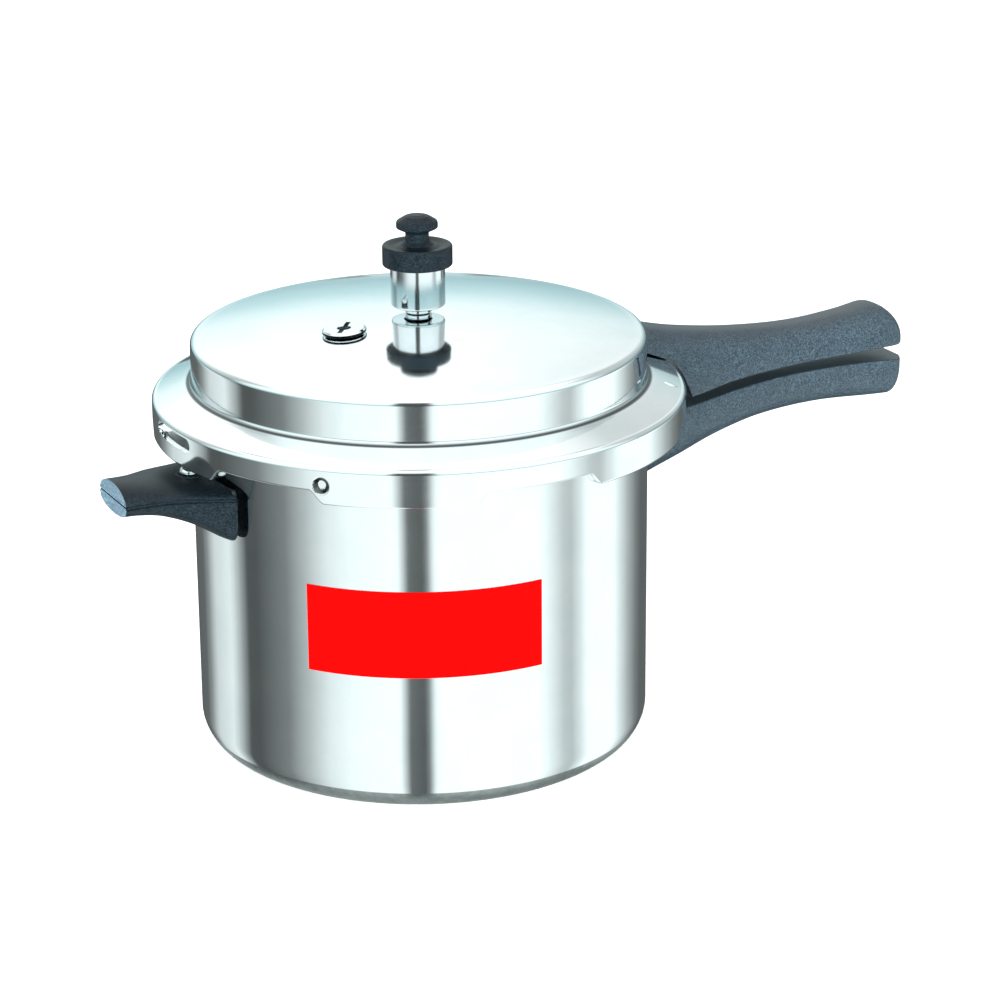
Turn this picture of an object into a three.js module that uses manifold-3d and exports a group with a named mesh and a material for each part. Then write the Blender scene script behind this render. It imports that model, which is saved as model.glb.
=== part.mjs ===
// Stovetop pressure cooker of the outer-lid kind: an aluminium pot, a lid that locks by lugs under
// the pot's rim, a gasket between them, a dead weight on a vent tube, a safety plug and three
// bakelite handles. Millimetres, +Z up. The origin is the centre of the pot's base, and the long
// handles point along +X.
import * as THREE from 'three';
import { mergeVertices } from 'three/addons/utils/BufferGeometryUtils.js';
import Module from 'manifold-3d';

const wasm = await Module();
wasm.setup();

// ---- driving dimensions ----
const GAP = 0.3; // between pieces that touch
const ROOM = 1.6 * GAP; // round a strap in its handle
const BIG = 40; // segments of a large turned piece
const SMALL = 12; // segments of a small turned piece

const POT = {
  r: 105, // outside of the wall
  wall: 3.2,
  base: 4,
  corner: 15.5, // outside radius between wall and base
  rimR: 110.5, // rolled rim
  rimLow: 154.0,
  top: 161,
};
const LOCK = {
  count: 6, // tabs on the pot, and lugs on the lid
  tabR: 119, // reach of the pot's tabs
  tabHalf: 12.5, // degrees
  tabLow: 154.0,
  tabHigh: 156.8,
};
const PITCH = 360 / LOCK.count; // degrees from one lug to the next
const LID = {
  sheet: 2.6,
  crown: 203.4, // top of the dome at the centre
  sag: 9, // drop of the dome from the centre to the drum's edge
  drumR: 104.3,
  drumCorner: 3,
  footR: 106,
  footZ: 173.8,
  skirtR: 122.5,
  skirtTop: 167.4,
  skirtLow: 151.2,
  skirtWall: 2.4,
  lipR: 112, // inner reach of the turned-in lugs
  lipHigh: 153.7,
  notchZ: 157,
  notchHalf: 24, // half width of a notch at its top
  notchHalfLow: 31, // half width of a notch at the skirt's lower edge
};
const SLOT = { half: 18.5, low: 159.3, high: 165.8 }; // gasket release slot in the skirt
const DENT = { angles: [-136, -16, 104], z: 159.7, depth: 2.2, mouthR: 4.2, floorR: 2.2, backR: 2.9 };
const VENT = { shankR: 4, tubeR: 3.6, boreR: 1.4, collarR: 6.2, foot: 191.6, top: 218 };
const WEIGHT = {
  r: 12.5,
  low: 206.7,
  high: 225.3,
  cavityR: 6.5,
  ceiling: 221.5,
  neckR: 9,
  neckTop: 230,
  stemR: 2.9,
  collarR: 16,
  collarLow: 225.6,
  collarHigh: 235.4,
  knobR: 9.5,
  knobNeckR: 5.5,
  top: 249,
};
const PLUG = {
  r: 43, // from the lid's axis
  angle: -166,
  headR: 10,
  headTop: 2.7, // above the dome
  slotHalf: 7.4,
  slotFloor: 1.5,
  shankR: 6,
  coreR: 2.7,
  foot: -8.9,
};
const LABEL = { angle: -115, half: 29.4, low: 66.4, high: 106.7, thick: 0.6 };
const PLATE = 2.5; // thickness of the handles' brackets where they lie on the metal

const FINISH = {
  polish: [0xd4dadd, 0.15, 1.0],
  cast: [0xb4b8b9, 0.45, 1.0],
  steel: [0xc9cdd0, 0.25, 1.0],
  brass: [0xb08d57, 0.35, 1.0],
  bakelite: [0x2b3036, 0.5, 0.0],
  rubber: [0xa8acac, 0.8, 0.0],
  label: [0xd6180f, 0.35, 0.0],
  fusible: [0x8d9194, 0.6, 1.0],
};

const rad = THREE.MathUtils.degToRad;
const lerp = THREE.MathUtils.lerp;

// ---- solids ----
function welded(geometry) {
  const bare = geometry.index ? geometry.toNonIndexed() : geometry.clone();
  bare.deleteAttribute('normal');
  bare.deleteAttribute('uv');
  return mergeVertices(bare, 1e-4);
}

function solid(geometry) {
  const mesh = welded(geometry);
  const xyz = mesh.attributes.position.array;
  const corners = mesh.index.array;
  const kept = [];
  let volume = 0;
  const [a, b, c] = [new THREE.Vector3(), new THREE.Vector3(), new THREE.Vector3()];
  for (let i = 0; i < corners.length; i += 3) {
    const [p, q, r] = [corners[i], corners[i + 1], corners[i + 2]];
    if (p === q || q === r || r === p) continue;
    kept.push(p, q, r);
    volume += a.fromArray(xyz, 3 * p).dot(b.fromArray(xyz, 3 * q).cross(c.fromArray(xyz, 3 * r)));
  }
  if (volume < 0) kept.reverse();
  return new wasm.Manifold(
    new wasm.Mesh({
      numProp: 3,
      vertProperties: new Float32Array(xyz),
      triVerts: new Uint32Array(kept),
    }),
  );
}

function geometryOf(manifold) {
  const mesh = manifold.getMesh();
  const geometry = new THREE.BufferGeometry();
  geometry.setAttribute('position', new THREE.BufferAttribute(mesh.vertProperties, 3));
  geometry.setIndex(new THREE.BufferAttribute(mesh.triVerts, 1));
  geometry.computeVertexNormals();
  return geometry;
}

// turned about +Z from a closed outline of [radius, z] points
function turned(outline, segments = BIG) {
  const points = [...outline, outline[0]].map(([r, z]) => new THREE.Vector2(r, z));
  return solid(new THREE.LatheGeometry(points, segments).rotateX(Math.PI / 2));
}

function tube(inner, outer, low, high, segments = SMALL) {
  return turned([[inner, low], [outer, low], [outer, high], [inner, high]], segments);
}

function rod(r, low, high, segments = SMALL) {
  return tube(0, r, low, high, segments);
}

// a sector of a ring, as wide as 2 * half degrees about the angle mid
function sector(inner, outer, low, high, mid, half, steps = 5) {
  const shape = new THREE.Shape();
  shape.absarc(0, 0, outer, rad(mid - half), rad(mid + half), false);
  shape.absarc(0, 0, inner, rad(mid + half), rad(mid - half), true);
  const options = { depth: high - low, bevelEnabled: false, curveSegments: steps };
  return solid(new THREE.ExtrudeGeometry(shape, options).translate(0, 0, low));
}

// a prism from an outline of [x, z] points, as wide as the given span along Y
function sideProfile(outline, width) {
  const shape = new THREE.Shape(outline.map(([x, z]) => new THREE.Vector2(x, z)));
  const options = { depth: width, bevelEnabled: false };
  const prism = new THREE.ExtrudeGeometry(shape, options).translate(0, 0, -width / 2);
  return solid(prism.rotateX(Math.PI / 2));
}

// a prism from an outline in the Y-Z plane, pushed along +X from one radius to another
function radialProfile(shape, from, to, angle) {
  const options = { depth: to - from, bevelEnabled: false, curveSegments: 6 };
  const prism = new THREE.ExtrudeGeometry(shape, options).translate(0, 0, from);
  prism.rotateX(Math.PI / 2);
  prism.rotateZ(Math.PI / 2);
  return solid(prism.rotateZ(rad(angle)));
}

// a rod lying along the radius at the given angle and height
function radialRod(stations, angle, z, offset = 0) {
  const outline = [[0, stations[0][1]], ...stations, [0, stations.at(-1)[1]]];
  const points = [...outline, outline[0]].map(([r, x]) => new THREE.Vector2(r, x));
  const geometry = new THREE.LatheGeometry(points, SMALL).rotateZ(-Math.PI / 2);
  return solid(geometry.translate(0, offset, z).rotateZ(rad(angle)));
}

function moved(part, x, y, z) {
  return part.translate([x, y, z]);
}

function joined(...parts) {
  return parts.reduce((all, part) => all.add(part));
}

// a skin over rings of equal length, closed by a fan at each end
function lofted(rings) {
  const xyz = rings.flat(2);
  const size = rings[0].length;
  const index = [];
  for (let ring = 0; ring < rings.length - 1; ring++) {
    for (let i = 0; i < size; i++) {
      const a = ring * size + i;
      const b = ring * size + ((i + 1) % size);
      index.push(a, b, b + size, a, b + size, a + size);
    }
  }
  const last = (rings.length - 1) * size;
  for (let i = 1; i < size - 1; i++) {
    index.push(0, i + 1, i, last, last + i, last + i + 1);
  }
  const geometry = new THREE.BufferGeometry();
  geometry.setAttribute('position', new THREE.Float32BufferAttribute(xyz, 3));
  geometry.setIndex(index);
  return solid(geometry);
}

// value of a smooth line through [x, value] knots
function along(knots, x) {
  const curve = new THREE.SplineCurve(knots.map(([kx, kv]) => new THREE.Vector2(kx, kv)));
  if (x <= knots[0][0]) return knots[0][1];
  if (x >= knots.at(-1)[0]) return knots.at(-1)[1];
  const piece = knots.findIndex(([kx]) => kx > x) - 1;
  const [x0, x1] = [knots[piece][0], knots[piece + 1][0]];
  return curve.getPoint((piece + (x - x0) / (x1 - x0)) / (knots.length - 1)).y;
}

// ---- the assembly ----
const cooker = new THREE.Group();

function put(name, part, finish, parent = cooker) {
  const [color, roughness, metalness] = FINISH[finish];
  const material = new THREE.MeshStandardMaterial({ color, roughness, metalness });
  const mesh = new THREE.Mesh(geometryOf(part), material);
  mesh.name = name;
  parent.add(mesh);
}

function arc(cx, cz, r, from, to, steps) {
  return Array.from({ length: steps + 1 }, (_, i) => {
    const t = rad(lerp(from, to, i / steps));
    return [cx + r * Math.cos(t), cz + r * Math.sin(t)];
  });
}

// ---- pot ----
function potBody() {
  const inside = POT.r - POT.wall;
  const innerCorner = POT.corner - POT.wall;
  const rimMid = (POT.rimLow + POT.top) / 2;
  const roll = (POT.top - POT.rimLow) / 2;
  const shell = turned([
    [0, 0],
    ...arc(POT.r - POT.corner, POT.corner, POT.corner, -90, 0, 5),
    [POT.r, POT.rimLow],
    ...arc(POT.rimR - roll, rimMid, roll, -90, 90, 4),
    [inside, POT.top],
    ...arc(inside - innerCorner, POT.base + innerCorner, innerCorner, 0, -90, 4),
    [0, POT.base],
  ]);
  const tabs = [];
  for (let i = 0; i < LOCK.count; i++) {
    const angle = PITCH * i;
    tabs.push(sector(POT.r + 1, LOCK.tabR, LOCK.tabLow, LOCK.tabHigh, angle, LOCK.tabHalf));
  }
  return joined(shell, ...tabs);
}

// ---- rivets that hold a handle's bracket to a wall of the given outside radius ----
const RIVET = { r: 2, headR: 3.4, head: 1.4, spread: 12 };

function rivetAt(wallR, wall, angle, z, side) {
  const far = wallR + PLATE + GAP;
  const y = side * RIVET.spread;
  const near = Math.sqrt(wallR ** 2 - RIVET.spread ** 2) - wall - 2.1 * GAP;
  const outer = Math.sqrt(far ** 2 - RIVET.spread ** 2) + 2.6 * GAP;
  return radialRod(
    [
      [RIVET.headR * 0.6, near - RIVET.head],
      [RIVET.headR, near - RIVET.head / 2],
      [RIVET.headR, near],
      [RIVET.r, near],
      [RIVET.r, outer],
      [RIVET.headR, outer],
      [RIVET.headR, outer + RIVET.head / 2],
      [RIVET.headR * 0.6, outer + RIVET.head],
    ],
    angle,
    z,
    y,
  );
}

function rivetHole(wallR, angle, z, side, r = RIVET.r + GAP) {
  const reach = [[r, wallR - 14], [r, wallR + 14]];
  return radialRod(reach, angle, z, side * RIVET.spread);
}

const SIDES = [-1, 1];

// ---- bracket: a plate curved round the wall, with a strap that runs out into the handle ----
function bracket(spec) {
  const inner = spec.wallR + GAP;
  const plate = sector(inner, inner + PLATE, spec.low, spec.high, 0, spec.half);
  let part = plate.add(sideProfile(spec.strap, spec.width));
  for (const side of SIDES) part = part.subtract(rivetHole(spec.wallR, 0, spec.rivetZ, side));
  part = part.subtract(moved(rod(spec.screwR + GAP, -30, 30), spec.screwX, 0, spec.screwZ));
  return part;
}

// room that a handle leaves for its bracket and its rivets' heads
function bracketRoom(spec) {
  const inner = spec.wallR - 1;
  const outer = spec.wallR + PLATE + 2 * GAP;
  const room = [
    tube(0, outer, 80, 240, 2 * BIG),
    sideProfile(spec.strapRoom, spec.width + 2 * ROOM),
  ];
  for (const side of SIDES) {
    const head = [[RIVET.headR + 1, inner], [RIVET.headR + 1, outer + RIVET.head + 2.2]];
    room.push(radialRod(head, 0, spec.rivetZ, side * RIVET.spread));
  }
  return joined(...room);
}

// a strap's side outline about a centre line, thickened by grow on every side
function strapOutline(line, thick, grow) {
  const half = thick / 2 + grow;
  const upper = line.map(([x, z]) => [x, z + half]);
  const lower = line.map(([x, z]) => [x, z - half]).reverse();
  const end = line.at(-1)[0] + grow;
  upper.at(-1)[0] = end;
  lower[0][0] = end;
  return [...lower, ...upper];
}

const POT_BRACKET = {
  wallR: POT.r,
  low: 114,
  high: 139,
  half: 10.5,
  line: [[106.5, 131], [128, 132], [154, 135]],
  thick: 8,
  width: 12,
  rivetZ: 121,
  screwX: 143,
  screwZ: 130,
  screwR: 2.2,
};
const LID_BRACKET = {
  wallR: LID.drumR,
  low: 175.6,
  high: 184,
  half: 9.5,
  line: [[105.8, 178.4], [117, 175.5], [130, 165], [152, 162]],
  thick: 3.2,
  width: 14,
  rivetZ: 180,
  screwX: 145,
  screwZ: 162,
  screwR: 2,
};
const HELPER_BRACKET = {
  wallR: POT.r,
  low: 120,
  high: 140,
  half: 11.5,
  line: [[106.5, 136.4], [122, 136.4]],
  thick: 3.2,
  width: 16,
  rivetZ: 126,
  screwX: 114.5,
  screwZ: 136,
  screwR: 2,
};
for (const spec of [POT_BRACKET, LID_BRACKET, HELPER_BRACKET]) {
  spec.strap = strapOutline(spec.line, spec.thick, 0);
  spec.strapRoom = strapOutline(spec.line, spec.thick, ROOM);
}

// ---- long handles: a D section with its flat side at the seam between the two ----
const GRIP = {
  end: 258.5,
  start: 100, // inside the wall, before the wall's room is cut away
  power: 2 / 2.7, // of the arched side's superellipse
  cornerLength: 9,
  halfWidth: [[100, 21], [118, 20], [136, 18], [160, 15.2], [200, 13.6], [235, 14.8], [253, 15.6]],
};
const LID_GRIP = {
  flat: [[100, 146], [136, 147.2], [160, 150.6], [193, 153.1], [225, 154.3], [262, 155.9]],
  arch: [
    [100, 187], [118, 181.6], [137, 177.2], [169, 172.8],
    [201, 171.1], [229, 172.8], [246, 175.4], [262, 176.6],
  ],
  roundLength: 17,
};
const POT_GRIP = {
  flat: [[100, 140], [137, 143.1], [171, 147], [190, 148.5], [231, 149.1], [262, 147.8]],
  arch: [
    [100, 104], [118, 110.6], [132, 115.2], [151, 121.8],
    [178, 128], [211, 130.2], [244, 128.6], [262, 127.9],
  ],
  roundLength: 7,
};

function gripSection(x, half, flat, arch) {
  const side = lerp(flat, arch, 0.2);
  const bevel = Math.min(1.2, half / 4);
  const sideZ = lerp(flat, arch, 0.06);
  const ring = [[x, -half + bevel, flat], [x, -half, sideZ]];
  const steps = 10;
  for (let i = 0; i <= steps; i++) {
    const t = Math.PI * (1 - i / steps);
    const y = half * Math.sign(Math.cos(t)) * Math.abs(Math.cos(t)) ** GRIP.power;
    ring.push([x, y, lerp(side, arch, Math.sin(t) ** GRIP.power)]);
  }
  ring.push([x, half, sideZ], [x, half - bevel, flat]);
  return ring;
}

function grip(spec) {
  const rings = [];
  const straightEnd = GRIP.end - spec.roundLength;
  const stations = [];
  for (let i = 0; i <= 11; i++) stations.push(lerp(GRIP.start, straightEnd, i / 11));
  for (let i = 1; i <= 5; i++) {
    stations.push(straightEnd + spec.roundLength * Math.sin((i / 5) * rad(86)));
  }
  for (const x of stations) {
    const corner = Math.max(0, (x - (GRIP.end - GRIP.cornerLength)) / GRIP.cornerLength);
    const round = Math.max(0, (x - straightEnd) / spec.roundLength);
    const half = along(GRIP.halfWidth, x) * (1 - 0.45 * corner ** 3);
    const flat = along(spec.flat, x);
    const arch = lerp(flat, along(spec.arch, x), Math.sqrt(1 - round ** 2));
    rings.push(gripSection(x, half, flat, arch));
  }
  return lofted(rings);
}

const SCREW = { headR: 4, head: 2.4, socketR: 1.6, socketDepth: 1.2 };

// hexagon socket in the underside of a screw's head
function socket(low) {
  return rod(SCREW.socketR, low - 1, low + SCREW.socketDepth, 6);
}

function potHandle() {
  const spec = POT_BRACKET;
  const bore = moved(rod(spec.screwR + GAP, -40, 20), spec.screwX, 0, spec.screwZ);
  const sink = moved(rod(SCREW.headR + GAP, -40, -8), spec.screwX, 0, spec.screwZ);
  return grip(POT_GRIP).subtract(bracketRoom(spec)).subtract(bore).subtract(sink);
}

function potHandleScrew() {
  const spec = POT_BRACKET;
  const low = -10.2;
  const head = rod(SCREW.headR, low, low + SCREW.head - GAP);
  const shank = rod(spec.screwR, low, 9);
  const drive = socket(low);
  return moved(joined(head, shank).subtract(drive), spec.screwX, 0, spec.screwZ);
}

// height of the lid's flange above the base at radius r
function flangeTop(r) {
  const t = (r - LID.footR) / (LID.skirtR - LID.footR);
  return lerp(LID.footZ, LID.skirtTop, t);
}

function lidHandle() {
  const spec = LID_BRACKET;
  const flangeRoom = turned([
    [0, 130],
    [136, 130],
    [136, 148.4],
    ...arc(118, 149.5, 16.6, 5, 62, 5),
    [122, flangeTop(122) + 2 * GAP],
    [107.3, flangeTop(106) + 2 * GAP],
    [107.3, 176],
    [0, 176],
  ]);
  const bore = moved(rod(spec.screwR + GAP, -40, 7), spec.screwX, 0, spec.screwZ);
  const sink = moved(rod(SCREW.headR + GAP, -40, -7.5), spec.screwX, 0, spec.screwZ);
  return grip(LID_GRIP)
    .subtract(flangeRoom)
    .subtract(bracketRoom(spec))
    .subtract(bore)
    .subtract(sink);
}

function lidHandleScrew() {
  const spec = LID_BRACKET;
  const low = -10;
  const head = rod(SCREW.headR, low, low + SCREW.head - GAP);
  const shank = rod(spec.screwR, low, 6);
  const drive = socket(low);
  return moved(joined(head, shank).subtract(drive), spec.screwX, 0, spec.screwZ);
}

// ---- helper handle: wide at the wall, crowned on top, with a deep web below its root ----
const HELPER = {
  end: 151,
  half: [[100, 31.5], [105, 30], [119, 25.4], [129, 22.4], [141, 18.6], [153, 16.4]],
  crown: [[100, 143.4], [119, 143.8], [135, 144.6], [153, 146.2]],
  seamHigh: [[100, 138.8], [112, 139.6], [128, 140.6], [140, 139.6], [153, 139]],
  seamLow: [[100, 137], [120, 137.8], [134, 137.8], [153, 136.6]],
  low: [[100, 115], [107.5, 118.6], [115, 122.9], [121, 126], [128, 128.7], [136, 130.8], [153, 131.8]],
};

function helperSection(x) {
  const half = along(HELPER.half, x);
  const crown = along(HELPER.crown, x);
  const high = along(HELPER.seamHigh, x);
  const seam = along(HELPER.seamLow, x);
  const low = along(HELPER.low, x);
  const square = lerp(2 / 7, 2 / 2.2, Math.min(1, Math.max(0, (x - 110) / 35)));
  const steps = 10;
  const ring = [];
  for (let i = 0; i <= steps; i++) {
    const t = Math.PI * (1 - i / steps);
    ring.push([x, half * Math.cos(t), lerp(high, crown, Math.sin(t))]);
  }
  for (let i = 0; i <= steps; i++) {
    const t = Math.PI * (i / steps);
    const y = half * Math.sign(Math.cos(t)) * Math.abs(Math.cos(t)) ** square;
    ring.push([x, y, lerp(seam, low, Math.sin(t) ** square)]);
  }
  return ring;
}

function helperHandle() {
  const spec = HELPER_BRACKET;
  const rings = [];
  for (let i = 0; i <= 9; i++) rings.push(helperSection(lerp(GRIP.start, HELPER.end, i / 9)));
  const boss = moved(tube(0, 6, -6, 7.2, 24), spec.screwX, 0, 137.2);
  const bore = moved(rod(spec.screwR + GAP, -14, 20), spec.screwX, 0, spec.screwZ);
  const hollow = sideProfile([[100, 100], [122.5, 122], [122.5, 134.4], [100, 134.4]], 34);
  return lofted(rings)
    .add(boss)
    .subtract(bracketRoom(spec))
    .subtract(hollow)
    .subtract(bore)
    .rotate([0, 0, 180]);
}

function helperHandleScrew() {
  const spec = HELPER_BRACKET;
  const seat = 144.4 + GAP;
  const shank = rod(spec.screwR, 131, seat + 1);
  const dome = turned([[0, seat], ...arc(0, seat - 1.2, 4.6, 16, 90, 4), [0, seat + 3.4]], SMALL);
  const drive = sideProfile([[-5, seat + 2.3], [5, seat + 2.3], [5, seat + 5], [-5, seat + 5]], 1.1);
  return moved(joined(shank, dome).subtract(drive), -spec.screwX, 0, 0);
}

// ---- lid ----
function domeZ(r) {
  return LID.crown - LID.sag * (r / 100) ** 2;
}

function lidShell() {
  const { sheet, drumR, skirtR, skirtWall } = LID;
  const edge = drumR - LID.drumCorner;
  const edgeZ = domeZ(edge) - LID.drumCorner;
  const inner = skirtR - skirtWall;
  const dome = [];
  for (let i = 1; i <= 5; i++) dome.push([(edge * i) / 5, domeZ((edge * i) / 5)]);
  const innerDome = dome.slice(0, 4).map(([r, z]) => [r * 0.985, z - sheet]);
  const shell = turned([
    [0, LID.crown - sheet],
    ...innerDome,
    [drumR - sheet, edgeZ - 1.5],
    [drumR - sheet, LID.footZ - sheet + 1.5],
    [LID.footR, LID.footZ - sheet],
    [inner - 1.4, flangeTop(inner - 1.4) - sheet],
    [inner, flangeTop(inner) - sheet - 1.2],
    [inner, LID.lipHigh],
    [LID.lipR, LID.lipHigh],
    [LID.lipR, LID.skirtLow],
    ...arc(skirtR - 1.5, LID.skirtLow + 1.5, 1.5, -90, 0, 2),
    ...arc(skirtR - 2.2, LID.skirtTop - 2.2, 2.2, 0, 75, 3),
    [LID.footR, LID.footZ],
    [drumR, LID.footZ + 1.7],
    ...arc(edge, edgeZ, LID.drumCorner, 0, 84, 3),
    ...dome.slice(0, 4).reverse(),
    [0, LID.crown],
  ]);
  let lid = shell;
  for (let i = 0; i < LOCK.count; i++) lid = lid.subtract(notch(PITCH * (i + 0.5)));
  for (const angle of DENT.angles) lid = lid.add(dentBack(angle)).subtract(dentMouth(angle));
  lid = lid.subtract(releaseSlot());
  lid = lid.subtract(rod(VENT.shankR + GAP, 190, 210));
  lid = lid.subtract(inPlugFrame(rod(PLUG.shankR + GAP, -9, 9)));
  for (const side of SIDES) {
    lid = lid.subtract(rivetHole(LID.drumR, 0, LID_BRACKET.rivetZ, side));
  }
  return lid;
}

// the notch between two lugs, with rounded shoulders
function notch(angle) {
  const shape = new THREE.Shape();
  const { notchHalf: top, notchHalfLow: low, notchZ: z } = LID;
  const foot = LID.skirtLow - 1;
  shape.moveTo(-low, foot);
  shape.bezierCurveTo(-low + 4, foot + 1.5, -top - 3, z, -top, z);
  shape.lineTo(top, z);
  shape.bezierCurveTo(top + 3, z, low - 4, foot + 1.5, low, foot);
  return radialProfile(shape, LID.lipR - 6, LID.skirtR + 4, angle);
}

function releaseSlot() {
  const r = (SLOT.high - SLOT.low) / 2;
  const mid = SLOT.low + r;
  const shape = new THREE.Shape();
  shape.absarc(SLOT.half - r, mid, r, -Math.PI / 2, Math.PI / 2, false);
  shape.absarc(-SLOT.half + r, mid, r, Math.PI / 2, 1.5 * Math.PI, false);
  return radialProfile(shape, LID.skirtR - 8, LID.skirtR + 4, 180);
}

// a dent pressed into the skirt: a cone cut from outside and its boss inside
function dentMouth(angle) {
  const out = LID.skirtR;
  const floor = out - LID.skirtWall + 0.4;
  const grow = (DENT.mouthR - DENT.floorR) / (out - floor);
  return radialRod(
    [[DENT.floorR, floor], [DENT.mouthR + grow, out + 1]],
    angle,
    DENT.z,
  );
}

function dentBack(angle) {
  const inner = LID.skirtR - LID.skirtWall;
  return radialRod(
    [[DENT.floorR, inner - DENT.depth], [DENT.backR + 0.5, inner + 1]],
    angle,
    DENT.z,
  );
}

// ---- gasket: a ring of U section that opens inwards, on top of the pot's rim ----
function gasket() {
  const low = POT.top + GAP;
  const roof = (r) => flangeTop(r) - LID.sheet - GAP * 1.5;
  return turned([
    [105, low],
    [116.2, low],
    [118.8, low + 2.4],
    [118.8, roof(118.8) - 0.6],
    [118, roof(118) - 0.2],
    [105.5, roof(106) - 0.4],
    [105.5, roof(106) - 2.4],
    [114.5, 165.4],
    [115.2, 164.2],
    [114.5, low + 1.9],
    [105, low + 1.5],
  ]);
}

// ---- vent tube and its fastening ----
function ventTube() {
  const { boreR, shankR, tubeR, collarR } = VENT;
  const seat = LID.crown + GAP;
  return turned(
    [
      [boreR, VENT.foot],
      [shankR, VENT.foot],
      [shankR, seat],
      [collarR, seat],
      [collarR, seat + 2],
      [tubeR + 0.4, seat + 2.8],
      [tubeR, seat + 4],
      [tubeR, VENT.top - 1],
      [tubeR - 0.8, VENT.top],
      [boreR, VENT.top],
    ],
    SMALL,
  );
}

function washer(inner, outer, high, thick) {
  return tube(inner, outer, high - thick, high);
}

function hexNut(inner, acrossCorners, high, thick) {
  return tube(0, acrossCorners / 2, high - thick, high, 6).subtract(
    rod(inner, high - thick - 1, high + 1),
  );
}

// ---- safety plug, square to the dome ----
const plugTilt = Math.atan((2 * LID.sag * PLUG.r) / 100 ** 2);

function inPlugFrame(part) {
  const r = PLUG.r;
  return part
    .rotate([0, THREE.MathUtils.radToDeg(plugTilt), 0])
    .translate([r, 0, domeZ(r)])
    .rotate([0, 0, PLUG.angle]);
}

function plugBody() {
  const { headR, headTop, shankR, coreR, foot } = PLUG;
  const body = turned(
    [
      [coreR + GAP, foot],
      [shankR, foot],
      [shankR, GAP * 1.5],
      [headR - 0.5, GAP * 1.5],
      [headR, 1],
      [headR, headTop - 0.9],
      [headR - 1, headTop],
      [coreR + GAP, headTop],
    ],
    24,
  );
  const { slotHalf: half, slotFloor: floor } = PLUG;
  const outline = [[-half, floor], [half, floor], [half, headTop + 1], [-half, headTop + 1]];
  const slot = sideProfile(outline, 2.2).rotate([0, 0, 35]);
  return body.subtract(slot);
}

// ---- weight: a steel body on a needle that closes the vent tube, under a bakelite cap ----
function weightBody() {
  const w = WEIGHT;
  return turned(
    [
      [w.cavityR, w.low],
      [w.r - 0.8, w.low],
      [w.r, w.low + 0.8],
      [w.r, w.high],
      [w.neckR, w.high],
      [w.neckR, w.neckTop],
      [5.6, w.neckTop],
      [5.6, 224],
      [w.stemR + GAP, 224],
      [w.stemR + GAP, w.ceiling],
      [w.cavityR, w.ceiling],
    ],
    24,
  );
}

function weightNeedle() {
  const w = WEIGHT;
  return turned(
    [
      [0, 215.5],
      [1, 216],
      [1, VENT.top + GAP],
      [w.stemR, VENT.top + GAP],
      [w.stemR, 219],
      [5.2, 219],
      [5.2, w.ceiling - GAP],
      [w.stemR, w.ceiling - GAP],
      [w.stemR, 224.3],
      [2.3, 224.3],
      [2.3, 225.9],
      [w.stemR, 225.9],
      [w.stemR, 227.5],
      [0, 227.5],
    ],
    SMALL,
  );
}

function weightCap() {
  const w = WEIGHT;
  const bore = w.neckR + GAP;
  return turned(
    [
      [0, w.neckTop + GAP],
      [bore, w.neckTop + GAP],
      [bore, w.collarLow],
      [w.collarR - 1, w.collarLow],
      [w.collarR, w.collarLow + 1],
      [w.collarR, w.collarHigh - 1.6],
      ...arc(w.collarR - 1.6, w.collarHigh - 1.6, 1.6, 0, 90, 2),
      [w.knobNeckR + 3.5, w.collarHigh - 0.6],
      [w.knobNeckR, w.collarHigh + 1.4],
      [w.knobNeckR, 241.2],
      [w.knobR - 1, 243],
      ...arc(w.knobR - 1.8, 245, 1.8, -30, 60, 3),
      [w.knobR - 4.5, w.top - 0.5],
      [0, w.top],
    ],
    24,
  );
}

// ---- label: a plain foil curved round the wall ----
function label() {
  const inner = POT.r + GAP;
  return sector(inner, inner + LABEL.thick, LABEL.low, LABEL.high, LABEL.angle, LABEL.half, 14);
}

// ---- place every piece ----
let pot = potBody();
for (const [spec, angle] of [[POT_BRACKET, 0], [HELPER_BRACKET, 180]]) {
  for (const side of SIDES) pot = pot.subtract(rivetHole(POT.r, angle, spec.rivetZ, side));
}
put('pot_body', pot, 'polish');
put('front_label', label(), 'label');

put('pot_handle', potHandle(), 'bakelite');
put('pot_handle_bracket', bracket(POT_BRACKET), 'cast');
put('pot_handle_screw', potHandleScrew(), 'steel');
put('helper_handle', helperHandle(), 'bakelite');
put('helper_handle_bracket', bracket(HELPER_BRACKET).rotate([0, 0, 180]), 'cast');
put('helper_handle_screw', helperHandleScrew(), 'steel');
SIDES.forEach((side, i) => {
  const potRivet = rivetAt(POT.r, POT.wall, 0, POT_BRACKET.rivetZ, side);
  const helperRivet = rivetAt(POT.r, POT.wall, 180, HELPER_BRACKET.rivetZ, side);
  const lidRivet = rivetAt(LID.drumR, LID.sheet, 0, LID_BRACKET.rivetZ, side);
  put(`pot_handle_rivet_${i + 1}`, potRivet, 'cast');
  put(`helper_handle_rivet_${i + 1}`, helperRivet, 'cast');
  put(`lid_handle_rivet_${i + 1}`, lidRivet, 'cast');
});

put('gasket', gasket(), 'rubber');

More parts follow.
